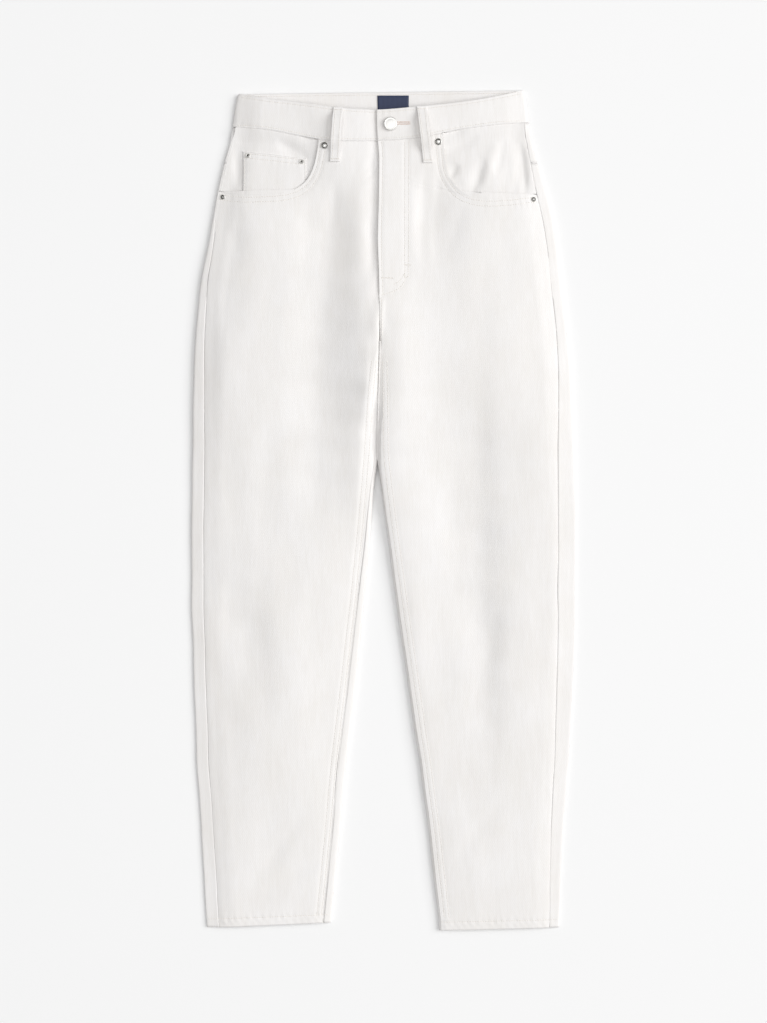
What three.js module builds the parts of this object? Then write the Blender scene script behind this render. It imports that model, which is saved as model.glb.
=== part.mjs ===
import * as THREE from 'three';

const { clamp, lerp, smoothstep } = THREE.MathUtils;
const flat = () => 0;

// Mom jeans laid flat on their back, in millimetres. +Z is up off the surface, +Y points to the waist and
// +X to the wearer's left. The origin is on the surface, under the middle of the garment.

// Thicknesses and gaps
const CLOTH = 1.2; // one layer of denim
const BAND = 2.6; // the waistband, folded on itself
const BAND_RISE = 1.0; // how far the waistband stands proud of the panels
const HEM_RISE = 0.9; // the same for a turned-up hem
const HEM_DEPTH = 12;
const TRIM = 1.6; // belt loops and patch pockets, folded at their edges
const GAP = 0.3; // between pieces that are sewn together
const WAIST_ROOM = 0.22; // from the curved waist seam to the piece on either side of it

// Heights above the surface that the whole garment shares
const CROTCH_Y = 199;
const FLY_END_Y = 262; // the flap of the fly ends here
const YOKE_SIDE_Y = 430; // the yoke seam at the side seam
const YOKE_BACK_Y = 384; // the yoke seam at the centre back
const PLATEAU = 2.0; // the seat rides this high, on its pockets and loops

// Fly
const FLAP_STEP = 3.0; // the right front drops by this under the flap
const FLAP_RAMP = { start: 13, length: 9 }; // where the drop starts, before the flap's edge
const UNDERLAP = 20; // how far the right front runs on under the flap
const BAND_UNDERLAP = 32; // how far the waistband runs on under its buttoned end

const table = (columns, rows) =>
  rows.map((row) => Object.fromEntries(columns.map((column, i) => [column, row[i]])));

// Each half of the garment is a flattened tube. A row gives, at a height y: the outer and inner edges
// (the centre front above the crotch), how far in from them the side seam and the inseam lie on the
// front, and how high the front stands at eight shares of the way from the outer edge to the inner one.
const SHARES = [0.06, 0.2, 0.35, 0.5, 0.65, 0.8, 0.9, 1];
const HEIGHTS = ['z06', 'z20', 'z35', 'z50', 'z65', 'z80', 'z90', 'z100'];
const COLUMNS = ['y', 'outer', 'inner', 'side', 'inseam', ...HEIGHTS];

const RIGHT = {
  name: 'right',
  inward: 1,
  hem: { outer: -516.2, inner: -510.6 },
  pocket: [[-177, 390], [-150, 390], [-122, 392], [-101, 400], [-88, 417], [-82, 440], [-80, 458]],
  pocketEndY: 394,
  facingDrop: 3.1,
  facingTopX: -69,
  sections: table(COLUMNS, [
    [520, -178.5, -9.5, 2.5, 0, 8, 10, 12, 14, 16, 17, 17, 17],
    [496, -184, -9, 2.5, 0, 9, 11, 12, 14, 16, 17, 17, 17],
    [472, -185.5, -8.5, 2.5, 0, 9, 11, 12, 13, 16, 17, 17, 17],
    [434, -196, -5, 4, 0, 10, 11, 12, 13, 16, 18, 17, 18],
    [385, -207, -6, 3.2, 0, 10, 13, 14, 13, 13, 16, 18, 19],
    [335, -216, -7, 6, 0, 11, 15, 17, 14, 12, 17, 21, 21],
    [273, -227, -5.5, 9, 0, 12, 17, 18, 17, 14, 21, 26, 27],
    [199, -233.5, -5, 12, 0, 12, 17, 18, 17, 16, 22, 27, 26],
    [137, -236, -7, 14, 4, 11, 16, 17, 17, 17, 21, 24, 20],
    [67, -236.5, -9.5, 15, 6, 11, 15, 17, 17, 17, 19, 20, 16],
    [-12, -237.5, -14.5, 15, 8, 11, 14, 16, 18, 19, 18, 16, 12],
    [-111, -237.5, -23, 15, 9.5, 10, 13, 17, 21, 21, 18, 14, 10],
    [-210, -234.5, -33.5, 14.5, 10.5, 10, 13, 17, 21, 20, 16, 13, 10],
    [-310, -231, -45, 14.5, 11, 10, 13, 16, 18, 17, 15, 12, 10],
    [-409, -225, -54.5, 15, 10.5, 9, 12, 13, 14, 14, 13, 11, 9],
    [-520, -218.3, -66.2, 15, 10, 8, 10, 10, 10, 10, 10, 9, 8],
  ]),
};

const LEFT = {
  name: 'left',
  inward: -1,
  hem: { outer: -516.7, inner: -520 },
  pocket: [[175, 388.5], [148, 385], [119, 385], [96, 393], [80, 414], [75, 440], [73.5, 467]],
  pocketEndY: 390.5,
  facingDrop: 2.1,
  facingTopX: 62,
  sections: table(COLUMNS, [
    [520, 174.2, -9.5, 3, 0, 8, 11, 13, 15, 16, 17, 17, 17],
    [496, 178, -9, 3.5, 0, 9, 11, 14, 15, 16, 17, 17, 17],
    [472, 179.2, -8.5, 5, 0, 9, 12, 14, 15, 16, 16, 17, 17],
    [434, 189, -5, 8, 0, 9, 12, 14, 15, 15, 16, 17, 18],
    [385, 204, -6, 13, 0, 10, 13, 16, 16, 14, 16, 18, 19],
    [335, 212.7, -7, 12, 0, 11, 15, 18, 19, 17, 18, 20, 21],
    [273, 220.5, -5.5, 12, 0, 12, 16, 19, 20, 20, 22, 25, 27],
    [199, 229, -3.7, 14, 0, 12, 17, 20, 20, 20, 23, 27, 26],
    [137, 233, -5.3, 17, 2.5, 12, 16, 18, 17, 16, 19, 21, 19],
    [67, 236, -6, 20, 4, 11, 15, 15, 13, 12, 15, 17, 15],
    [-12, 237.5, 2.5, 21.5, 5, 10, 14, 15, 12, 11, 15, 15, 12],
    [-111, 237.2, 15.5, 21.5, 5.5, 10, 14, 15, 14, 11, 12, 14, 11],
    [-210, 235, 29.8, 20.5, 5.5, 10, 14, 16, 14, 11, 11, 12, 10],
    [-310, 229.4, 44.3, 18, 5.5, 10, 13, 14, 13, 12, 12, 12, 10],
    [-409, 221.3, 57.4, 14.5, 5.5, 9, 12, 13, 13, 13, 12, 11, 9],
    [-520, 217.2, 69.3, 12, 5.5, 8, 10, 10, 10, 10, 10, 9, 8],
  ]),
};

// The waistband's top edge and lower seam across the front
const WAIST = table(['x', 'top', 'seam'], [
  [-179, 515, 474.3],
  [-148, 509, 471.6],
  [-116, 505, 465.6],
  [-87, 501.3, 459.2],
  [-66, 497.6, 456.1],
  [-41, 495.4, 455.5],
  [-7, 494, 456.1],
  [30, 496.6, 458],
  [60, 499.6, 463],
  [89, 503, 469.4],
  [120, 507.5, 474.4],
  [151, 513.7, 478.4],
  [174, 519.6, 479.6],
]);

// The largest folds of the front: ridges, or troughs where the height is below 0, from one end to the
// other, fading out over their reach to each side.
const FOLDS = table(['x0', 'y0', 'x1', 'y1', 'reach', 'height'], [
  [-188, 385, -170, 255, 10, -1.6],
  [-63, 414, -56, 318, 10, -1.8],
  [-103, 380, -97, 220, 15, 1.5],
  [-150, 366, -138, 220, 12, -1.2],
  [68, 430, 57, 300, 10, -2.2],
  [100, 382, 84, 300, 10, -2],
  [140, 378, 133, 255, 11, -1.3],
  [118, 378, 111, 220, 12, 1.5],
  [36, 446, 35, 305, 8, -1.3],
  [-194, 100, -180, -60, 12, -1.4],
  [-178, -75, -150, -238, 14, -2.2],
  [-122, -95, -112, -290, 16, 2],
  [-208, -150, -176, -350, 12, -1.3],
  [-102, -345, -168, -425, 10, -1.6],
  [-70, -408, -145, -465, 9, -1.4],
  [114, -55, 132, -262, 14, -2],
  [88, 60, 92, -95, 12, -1.6],
  [178, -60, 172, -270, 14, 1.4],
  [84, -355, 152, -425, 10, -1.3],
]);

// Colours and finishes
const finish = (color, roughness, metalness = 0) =>
  new THREE.MeshStandardMaterial({ color, roughness, metalness });
const DENIM = finish(0xefebe6, 0.9);
const FACING = finish(0xebe6df, 0.9);
const ZIP_TAPE = finish(0xe9e4dc, 0.8);
const TAB = finish(0x1d2740, 0.75);
const NICKEL = finish(0xc9c9c7, 0.35, 1);

// Curves

// A smooth curve through points, which never overshoots them
function curveThrough(xs, ys) {
  const last = xs.length - 1;
  const rise = (i) => (ys[i + 1] - ys[i]) / (xs[i + 1] - xs[i]);
  const slopes = xs.map((x, i) => {
    if (i === 0) return rise(0);
    if (i === last) return rise(last - 1);
    const before = rise(i - 1);
    const after = rise(i);
    return before * after <= 0 ? 0 : (2 * before * after) / (before + after);
  });
  return (x) => {
    if (x <= xs[0]) return ys[0];
    if (x >= xs[last]) return ys[last];
    let i = 0;
    while (x > xs[i + 1]) i += 1;
    const span = xs[i + 1] - xs[i];
    const t = (x - xs[i]) / span;
    const leave = t * (1 - t) ** 2 * span * slopes[i];
    const arrive = t * t * (t - 1) * span * slopes[i + 1];
    return lerp(ys[i], ys[i + 1], t * t * (3 - 2 * t)) + leave + arrive;
  };
}

for (const half of [RIGHT, LEFT]) {
  const upward = [...half.sections].reverse();
  const heights = upward.map((section) => section.y);
  const columns = COLUMNS.map((name) => [name, curveThrough(heights, upward.map((row) => row[name]))]);
  half.at = Object.fromEntries(columns);
}

const waistXs = WAIST.map((row) => row.x);
const frontTop = curveThrough(waistXs, WAIST.map((row) => row.top));
const frontSeam = curveThrough(waistXs, WAIST.map((row) => row.seam));
const acrossWaist = (x) => (x - waistXs[0]) / (waistXs.at(-1) - waistXs[0]);
const backTop = (x) => lerp(WAIST[0].top, WAIST.at(-1).top, acrossWaist(x));
const backSeam = (x) => lerp(WAIST[0].seam, WAIST.at(-1).seam, acrossWaist(x));
const centre = (y) => (RIGHT.at.inner(y) + LEFT.at.inner(y)) / 2;

// The garment's skin

const FRONT_CLEFT = 45; // the fronts dip towards each other over this stretch above the crotch
const BACK_CLEFT = 28;
const QUARTER = Math.PI / 2;
const bendRadius = (height) => clamp(0.65 * height, 5.5, 12);

// How a half bends at a height: its radii at the outer and inner folds and the length over its front
function bends(half, y) {
  const outer = bendRadius(half.at.z06(y));
  const inner = bendRadius(half.at.z100(y));
  const width = Math.abs(half.at.inner(y) - half.at.outer(y));
  return { outer, inner, width, length: width + (QUARTER - 1) * (outer + inner) };
}

function folds(x, y) {
  let height = 0;
  for (const fold of FOLDS) {
    const runX = fold.x1 - fold.x0;
    const runY = fold.y1 - fold.y0;
    const length = Math.hypot(runX, runY);
    const along = ((x - fold.x0) * runX + (y - fold.y0) * runY) / length ** 2;
    const away = ((x - fold.x0) * runY - (y - fold.y0) * runX) / length;
    if (along <= 0 || along >= 1) continue;
    height += fold.height * Math.sin(Math.PI * along) ** 1.5 * Math.exp(-((away / fold.reach) ** 2));
  }
  return height;
}

// How high the front stands, away from its folded edges
function frontHeight(half, x, y) {
  const share = (x - half.at.outer(y)) / (half.at.inner(y) - half.at.outer(y));
  const across = curveThrough(SHARES, HEIGHTS.map((name) => half.at[name](y)));
  return across(share) + folds(x, y);
}

// How high the back lies: on the ground, but for the seat, which rests on its pockets and loops
const backHeight = (x, y) =>
  PLATEAU * (1 - smoothstep(Math.abs(x), 165, 195)) * smoothstep(y, 150, 198);

const cleftOf = (front, y) => 1 - smoothstep(y, CROTCH_Y, CROTCH_Y + (front ? FRONT_CLEFT : BACK_CLEFT));

// A point of a half's skin. The walk is 0 at the outer fold, 1 at the inner edge over the front and -1
// at the inner edge under the back. On a leg it goes on round the inner fold to -2, on the front again,
// and above the crotch it goes on past 1 over the other half's front.
function ring(half, walk, y) {
  if (walk < -1) return ring(half, walk + 2, y);
  const bend = bends(half, y);
  if (walk > 1) return over(half.at.inner(y) + half.inward * (walk - 1) * bend.length, y);
  const front = walk >= 0;
  const fromOuter = Math.abs(walk) * bend.length;
  const fromInner = bend.length - fromOuter;
  const cleft = cleftOf(front, y);
  const atOuter = fromOuter < QUARTER * bend.outer;
  const atInner = fromInner < QUARTER * bend.inner;
  let across = fromOuter - (QUARTER - 1) * bend.outer;
  let riseOuter = 1;
  let riseInner = 1;
  if (atOuter) {
    across = bend.outer * (1 - Math.cos(fromOuter / bend.outer));
    riseOuter = Math.sin(fromOuter / bend.outer);
  } else if (atInner) {
    const round = bend.inner * (1 - Math.cos(fromInner / bend.inner));
    across = bend.width - lerp(fromInner / QUARTER, round, cleft);
    riseInner = 1 - cleft * (1 - Math.sin(fromInner / bend.inner));
  }
  const x = half.at.outer(y) + half.inward * across;
  const full = front ? frontHeight(half, x, y) : backHeight(x, y);
  const z = full * riseOuter * riseInner
    + (half.at.z06(y) / 2) * (1 - riseOuter)
    + (half.at.z100(y) / 2) * (1 - riseInner);
  return new THREE.Vector3(x, y, z);
}

// The walk over a fold for a step inwards from its edge, in mm
const roundFold = (inset, radius) => (inset < radius
  ? radius * Math.acos(1 - clamp(inset / radius, 0, 1))
  : inset + (QUARTER - 1) * radius);

// The walk to a place on a half's front
function walkTo(half, x, y) {
  const bend = bends(half, y);
  const inset = Math.max(0, (x - half.at.outer(y)) * half.inward);
  const fromInner = Math.max(0, bend.width - inset);
  if (fromInner < bend.inner) {
    const straight = cleftOf(true, y) < 0.5;
    return 1 - (straight ? fromInner * QUARTER : roundFold(fromInner, bend.inner)) / bend.length;
  }
  return roundFold(inset, bend.outer) / bend.length;
}

// The point of the front over a place, on whichever half it is
function over(x, y) {
  const half = x < centre(y) ? RIGHT : LEFT;
  return ring(half, walkTo(half, x, y), y);
}

// A point of the skin with the way out of the cloth, once a lift has moved the skin up or down
function skin(half, walk, y, lift = flat) {
  const step = 0.4;
  const share = step / bends(half, y).length;
  const point = (w, h) => {
    const place = ring(half, w, h);
    place.z += lift(place.x, h);
    return place;
  };
  const low = Math.max(walk - share, y > CROTCH_Y ? -1 : -2);
  const high = Math.min(walk + share, y > CROTCH_Y + FRONT_CLEFT ? 2 : 1);
  const acrossWay = point(high, y).sub(point(low, y));
  const upWay = point(walk, y + step).sub(point(walk, y - step));
  return { point: point(walk, y), normal: acrossWay.cross(upWay).multiplyScalar(half.inward).normalize() };
}

function skinOver(x, y, lift = flat) {
  const half = x < centre(y) ? RIGHT : LEFT;
  return skin(half, walkTo(half, x, y), y, lift);
}

// Cloth

const garment = new THREE.Group();

function addMesh(name, geometry, material) {
  const mesh = new THREE.Mesh(geometry, material);
  mesh.name = name;
  garment.add(mesh);
  return mesh;
}

// A wall of cloth on a grid of places. Each place is a point and the way out of it, and the wall lies
// between two depths, measured along that way.
function sheet(name, material, columns, rows, place, outside, inside) {
  const places = [];
  for (let j = 0; j <= rows; j += 1) {
    for (let i = 0; i <= columns; i += 1) places.push({ i, j, ...place(i, j) });
  }
  const points = [outside, inside].flatMap((depth) =>
    places.map((at) => at.point.clone().addScaledVector(at.normal, depth(at))));
  const outer = (i, j) => j * (columns + 1) + i;
  const inner = (i, j) => outer(i, j) + places.length;
  const faces = [];
  const quad = (a, b, c, d) => faces.push(a, b, c, a, c, d);
  for (let j = 0; j < rows; j += 1) {
    for (let i = 0; i < columns; i += 1) {
      quad(outer(i, j), outer(i + 1, j), outer(i + 1, j + 1), outer(i, j + 1));
      quad(inner(i, j + 1), inner(i + 1, j + 1), inner(i + 1, j), inner(i, j));
    }
  }
  for (let i = 0; i < columns; i += 1) {
    quad(outer(i, 0), inner(i, 0), inner(i + 1, 0), outer(i + 1, 0));
    quad(outer(i + 1, rows), inner(i + 1, rows), inner(i, rows), outer(i, rows));
  }
  for (let j = 0; j < rows; j += 1) {
    quad(outer(0, j + 1), inner(0, j + 1), inner(0, j), outer(0, j));
    quad(outer(columns, j), inner(columns, j), inner(columns, j + 1), outer(columns, j + 1));
  }
  if (volume(points, faces) < 0) faces.reverse();
  const geometry = new THREE.BufferGeometry().setFromPoints(points);
  geometry.setIndex(faces);
  return addMesh(name, geometry, material);
}

function volume(points, faces) {
  let sum = 0;
  for (let k = 0; k < faces.length; k += 3) {
    const [a, b, c] = [points[faces[k]], points[faces[k + 1]], points[faces[k + 2]]];
    sum += a.dot(b.clone().cross(c));
  }
  return sum;
}

// A turned-up hem stands proud of the upper side, and on the lower side its thickness goes inwards
const upward = (normal) => Math.max(0, normal.z);
const hemOutside = ({ j, normal }) => (j <= HEM_ROW ? HEM_RISE * upward(normal) : 0);
const hemInside = ({ j, normal }) => (j <= HEM_ROW ? HEM_RISE * (upward(normal) - 1) : 0) - CLOTH;

// The rows of a leg panel, as shares of the way from the hem to the crotch. The first is the hem.
const HEM_ROW = 1;
const LEG_STEPS = 22;
const LEG_LENGTH = CROTCH_Y - RIGHT.hem.inner;
const LEG_SHARES = [0, HEM_DEPTH / LEG_LENGTH];
for (let k = 0; k <= LEG_STEPS; k += 1) {
  LEG_SHARES.push(lerp((HEM_DEPTH + 2) / LEG_LENGTH, 1, k / LEG_STEPS));
}
const SEAT_STEPS = 8; // from the crotch to the end of the pocket
const POCKET_STEPS = 9; // round the mouth of the pocket

const sideWalk = (half, y) => roundFold(half.at.side(y), bends(half, y).outer);
const inseamWalk = (half, y) => roundFold(half.at.inseam(y), bends(half, y).inner);
const sideSeamX = (half, y) => half.at.outer(y) + half.inward * half.at.side(y);

// The slanted mouth of a pocket, from the side seam up to the waist seam
function pocketMouth(half) {
  const start = new THREE.Vector2(sideSeamX(half, half.pocketEndY), half.pocketEndY);
  const points = half.pocket.map(([x, y]) => new THREE.Vector2(x, y));
  const end = points.at(-1);
  end.y = frontSeam(end.x) - WAIST_ROOM;
  return new THREE.SplineCurve([start, ...points]);
}

// The right front drops under the flap of the fly and runs on below it
const flapDrop = (x, y) => -FLAP_STEP * smoothstep(y, FLY_END_Y, FLY_END_Y + 16)
  * smoothstep(x, centre(y) - FLAP_RAMP.start, centre(y) - FLAP_RAMP.start + FLAP_RAMP.length);
const underlap = (y) => lerp(-GAP / 2, UNDERLAP, smoothstep(y, FLY_END_Y + 17, FLY_END_Y + 30));
const frontEdge = (half, y) => 1 + (half === RIGHT ? underlap(y) : -GAP / 2) / bends(half, y).length;

function frontPanel(half) {
  const columns = 15;
  const outerEdge = [];
  const innerEdge = [];
  for (const share of LEG_SHARES) {
    const y = lerp(half.hem.outer, CROTCH_Y, share);
    outerEdge.push({ walk: (sideWalk(half, y) + GAP / 2) / bends(half, y).length, y });
    const innerY = lerp(half.hem.inner, CROTCH_Y, share);
    const inset = (inseamWalk(half, innerY) + GAP / 2) / bends(half, innerY).length;
    innerEdge.push({ walk: 1 - inset, y: innerY });
  }
  const levelY = half.pocketEndY + 6;
  for (let k = 1; k <= SEAT_STEPS; k += 1) {
    const y = lerp(CROTCH_Y, half.pocketEndY, k / SEAT_STEPS);
    outerEdge.push({ walk: (sideWalk(half, y) + GAP / 2) / bends(half, y).length, y });
    const innerY = lerp(CROTCH_Y, levelY, k / SEAT_STEPS);
    innerEdge.push({ walk: frontEdge(half, innerY), y: innerY });
  }
  const mouth = pocketMouth(half).getSpacedPoints(POCKET_STEPS);
  const waistY = frontSeam(centre(CROTCH_Y)) - WAIST_ROOM;
  for (let k = 1; k <= POCKET_STEPS; k += 1) {
    outerEdge.push({ walk: walkTo(half, mouth[k].x, mouth[k].y), y: mouth[k].y });
    const innerY = lerp(levelY, waistY, k / POCKET_STEPS);
    innerEdge.push({ walk: frontEdge(half, innerY), y: innerY });
  }
  const rows = outerEdge.length - 1;
  const lift = half === RIGHT ? flapDrop : flat;
  const place = (i, j) => {
    const share = drawnIn(i / columns);
    const walk = lerp(outerEdge[j].walk, innerEdge[j].walk, share);
    const y = lerp(outerEdge[j].y, innerEdge[j].y, share);
    const near = Math.max(0, j - rows + POCKET_STEPS) / POCKET_STEPS;
    const topWalk = lerp(outerEdge[rows].walk, innerEdge[rows].walk, share);
    const topY = lerp(outerEdge[rows].y, innerEdge[rows].y, share);
    const bow = (frontSeam(ring(half, topWalk, topY).x) - WAIST_ROOM - topY) * near ** 2;
    return skin(half, walk, y + bow, lift);
  };
  sheet(`front_${half.name}`, DENIM, columns, rows, place, hemOutside, hemInside);
}

// Spreads a row's points so that they lie closer together at both of its ends
const drawnIn = (share) => share - (0.45 * Math.sin(2 * Math.PI * share)) / (2 * Math.PI);

// The columns of a back piece: from the side seam round the outer fold, along the ground, and round
// the inner fold to the inseam on a leg. They are walks in mm, measured as in ring.
const BACK_COLUMNS = { outerFold: 5, ground: 7, innerFold: 5 };
const backColumns = BACK_COLUMNS.outerFold + BACK_COLUMNS.ground + BACK_COLUMNS.innerFold;
const backShare = (i) => clamp((i - BACK_COLUMNS.outerFold) / BACK_COLUMNS.ground, 0, 1);

function backWalk(half, i, y) {
  const bend = bends(half, y);
  const start = sideWalk(half, y) - GAP / 2;
  const groundStart = -QUARTER * bend.outer;
  const groundEnd = QUARTER * bend.inner - bend.length;
  const end = -bend.length - (y > CROTCH_Y ? 0 : inseamWalk(half, y)) + GAP / 2;
  const stops = [start, groundStart, groundEnd, end];
  const counts = Object.values(BACK_COLUMNS);
  let k = 0;
  let left = i;
  while (k < 2 && left > counts[k]) {
    left -= counts[k];
    k += 1;
  }
  return lerp(stops[k], stops[k + 1], left / counts[k]) / bend.length;
}

function backPanel(half) {
  const outerYs = LEG_SHARES.map((share) => lerp(half.hem.outer, CROTCH_Y, share));
  const innerYs = LEG_SHARES.map((share) => lerp(half.hem.inner, CROTCH_Y, share));
  const yokeSteps = 2;
  for (let k = 1; k <= SEAT_STEPS; k += 1) outerYs.push(lerp(CROTCH_Y, half.pocketEndY, k / SEAT_STEPS));
  for (let k = 1; k <= yokeSteps; k += 1) {
    outerYs.push(lerp(half.pocketEndY, YOKE_SIDE_Y - GAP / 2, k / yokeSteps));
  }
  const seatRows = SEAT_STEPS + yokeSteps;
  for (let k = 1; k <= seatRows; k += 1) {
    innerYs.push(lerp(CROTCH_Y, YOKE_BACK_Y - GAP / 2, k / seatRows));
  }
  const place = (i, j) => {
    const y = lerp(outerYs[j], innerYs[j], backShare(i));
    return skin(half, backWalk(half, i, y), y);
  };
  sheet(`back_${half.name}`, DENIM, backColumns, outerYs.length - 1, place, hemOutside, hemInside);
}

function yoke(half) {
  const rows = 3;
  const place = (i, j) => {
    const low = lerp(YOKE_SIDE_Y, YOKE_BACK_Y, backShare(i)) + GAP / 2;
    const high = lerp(backSeam(half.at.outer(low)), backSeam(0), backShare(i)) - WAIST_ROOM;
    const y = lerp(low, high, j / rows);
    return skin(half, backWalk(half, i, y), y);
  };
  sheet(`yoke_${half.name}`, DENIM, backColumns, rows, place, () => 0, () => -CLOTH);
}

// The facing behind a pocket's mouth lies lower than the panels, but comes level with them at the
// side seam
const facingLift = (half) => (x, y) => {
  const fromSide = (x - sideSeamX(half, y)) * half.inward;
  const full = smoothstep(frontSeam(x) - y, 4, 20);
  return -lerp(LEFT.facingDrop, half.facingDrop, full) * smoothstep(fromSide, 1, 12);
};

function pocketFacing(half) {
  const columns = 12;
  const rows = 7;
  const reach = 11; // how far the facing runs on under the front panel
  const mouth = pocketMouth(half);
  const lower = [];
  for (let i = 0; i <= columns; i += 1) {
    const share = 0.94 * (i / columns);
    const point = mouth.getPointAt(share);
    const way = mouth.getTangentAt(share);
    const fromSide = (point.x - sideSeamX(half, point.y)) * half.inward;
    const run = lerp(-3 * GAP, reach, smoothstep(fromSide, 13, 32));
    lower.push(new THREE.Vector2(way.y, -way.x).multiplyScalar(half.inward * run).add(point));
  }
  const place = (i, j) => {
    const share = i / columns;
    const topX = lerp(sideSeamX(half, WAIST[0].seam), half.facingTopX, share);
    const topY = frontSeam(topX) - WAIST_ROOM;
    const y = lerp(lower[i].y, topY, j / rows);
    const bow = sideSeamX(half, y) - lerp(lower[0].x, sideSeamX(half, WAIST[0].seam), j / rows);
    const x = lerp(lower[i].x, topX, j / rows) + bow * (1 - share) ** 4 + half.inward * (GAP / 2);
    return skinOver(x, y, facingLift(half));
  };
  sheet(`pocket_facing_${half.name}`, FACING, columns, rows, place, () => 0, () => -CLOTH);
}

const COIN = { left: -173.7, right: -95, topLeft: 443.8, topRight: 434.6, reach: 8, cloth: 1.1 };

function coinPocket() {
  const columns = 8;
  const rows = 5;
  const mouth = curveThrough(RIGHT.pocket.map(([x]) => x), RIGHT.pocket.map(([, y]) => y));
  const place = (i, j) => {
    const x = lerp(COIN.left, COIN.right, i / columns);
    const top = lerp(COIN.topLeft, COIN.topRight, i / columns);
    return skinOver(x, lerp(mouth(x) - COIN.reach, top, j / rows), facingLift(RIGHT));
  };
  sheet('coin_pocket', DENIM, columns, rows, place, () => GAP + COIN.cloth, () => GAP);
}

// The waistband is one strip. It starts at its buttoned end at the centre front, goes round the left
// half, the back and the right half, and ends under its start.
const bandStep = (x, y) => -(BAND + GAP + 0.1)
  * smoothstep(x, centre(y) - FLAP_RAMP.start, centre(y) - FLAP_RAMP.start + FLAP_RAMP.length);

function waistband() {
  const rows = 4;
  const midY = 495;
  const counts = [12, 6, 7];
  const halfWalks = (half) => {
    const bend = bends(half, midY);
    const stops = [bend.length, QUARTER * bend.outer, -QUARTER * bend.outer, -bend.length];
    const walks = [1];
    counts.forEach((count, k) => {
      for (let n = 1; n <= count; n += 1) walks.push(lerp(stops[k], stops[k + 1], n / count) / bend.length);
    });
    return walks;
  };
  const strip = halfWalks(LEFT).map((walk) => ({ half: LEFT, walk, lift: flat }));
  const rightWalks = halfWalks(RIGHT).reverse().slice(1);
  const overrun = BAND_UNDERLAP / bends(RIGHT, midY).length;
  for (let k = 1; k <= 3; k += 1) rightWalks.push(1 + (overrun * k) / 3);
  strip.push(...rightWalks.map((walk) => ({ half: RIGHT, walk, lift: walk > 0 ? bandStep : flat })));
  const place = (i, j) => {
    const { half, walk, lift } = strip[i];
    const { x } = ring(half, walk, midY);
    const low = (walk > 0 ? frontSeam(x) : backSeam(x)) + WAIST_ROOM;
    const high = walk > 0 ? frontTop(x) : backTop(x);
    return skin(half, walk, lerp(low, high, j / rows), lift);
  };
  const outside = ({ normal }) => BAND_RISE * upward(normal);
  const inside = ({ normal }) => BAND_RISE * upward(normal) - BAND;
  sheet('waistband', DENIM, strip.length - 1, rows, place, outside, inside);
}

// A front belt loop stands off the waistband, far enough for a belt, and its ends are sewn down
const LOOP_WIDTH = 11.8;
const LOOP_ROOM = 5.8;
const FRONT_LOOPS = [
  { name: 'belt_loop_front_right', top: [-55.8, 496.6], foot: [-60.1, 430] },
  { name: 'belt_loop_front_left', top: [47.1, 498], foot: [54.9, 428.7] },
];

function frontLoop(loop) {
  const columns = 2;
  const rows = 14;
  const [topX, topY] = loop.top;
  const [footX, footY] = loop.foot;
  const down = (j) => j / rows;
  const room = ({ j }) => {
    const bow = smoothstep(down(j), 0.05, 0.22) * (1 - smoothstep(down(j), 0.58, 0.84));
    return GAP + BAND_RISE * (1 - smoothstep(down(j), 0.62, 0.84)) + (LOOP_ROOM - GAP) * bow;
  };
  const place = (i, j) => {
    const x = lerp(topX, footX, down(j)) + LOOP_WIDTH * (i / columns - 0.5);
    return skinOver(x, lerp(topY, footY, down(j)), x < centre(topY) ? flapDrop : flat);
  };
  sheet(loop.name, DENIM, columns, rows, place, (at) => room(at) + TRIM, room);
}

// The loops and pockets of the back lie flat between the seat and the ground
const BACK_LOOPS = [
  { name: 'belt_loop_side_right', x: -128 },
  { name: 'belt_loop_back', x: -6 },
  { name: 'belt_loop_side_left', x: 118 },
];

function plate(name, outline) {
  const geometry = new THREE.ExtrudeGeometry(new THREE.Shape(outline), { depth: TRIM, bevelEnabled: false });
  return addMesh(name, geometry, DENIM);
}

function backLoop({ name, x }) {
  const top = backTop(x) - 1;
  const foot = backSeam(x) - 26;
  const side = LOOP_WIDTH / 2;
  const corners = [[-side, foot], [side, foot], [side, top], [-side, top]];
  plate(name, corners.map(([dx, y]) => new THREE.Vector2(x + dx, y)));
}

const PATCH = { centre: 84, top: 374, width: 128, footWidth: 112, height: 140, point: 14 };

function backPocket(half) {
  const middle = centre(PATCH.top) - half.inward * PATCH.centre;
  const foot = PATCH.top - PATCH.height;
  const outline = [
    [-PATCH.width / 2, PATCH.top],
    [-PATCH.footWidth / 2, foot],
    [0, foot - PATCH.point],
    [PATCH.footWidth / 2, foot],
    [PATCH.width / 2, PATCH.top],
  ];
  plate(`back_pocket_${half.name}`, outline.map(([dx, y]) => new THREE.Vector2(middle + dx, y)));
}

function zip() {
  const columns = 3;
  const rows = 9;
  const width = 16;
  const depth = { outside: -CLOTH - GAP, inside: -CLOTH - GAP - 1 };
  const place = (i, j) => {
    const y = lerp(FLY_END_Y + 34, frontSeam(0) - 4, j / rows);
    return skinOver(centre(y) + 2 + (width * i) / columns, y);
  };
  sheet('zip', ZIP_TAPE, columns, rows, place, () => depth.outside, () => depth.inside);
}

// Hardware

// A turned piece that stands on the cloth at a place, clear of it by the gap
function turned(name, profile, segments, at, depth) {
  const points = profile.map(([radius, height]) => new THREE.Vector2(radius, height));
  const mesh = addMesh(name, new THREE.LatheGeometry(points, segments), NICKEL);
  mesh.quaternion.setFromUnitVectors(new THREE.Vector3(0, 1, 0), at.normal);
  mesh.position.copy(at.point).addScaledVector(at.normal, depth + GAP);
}

const BUTTON = { x: 8.6, y: 476.3, radius: 8.5, height: 3.6 };

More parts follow.
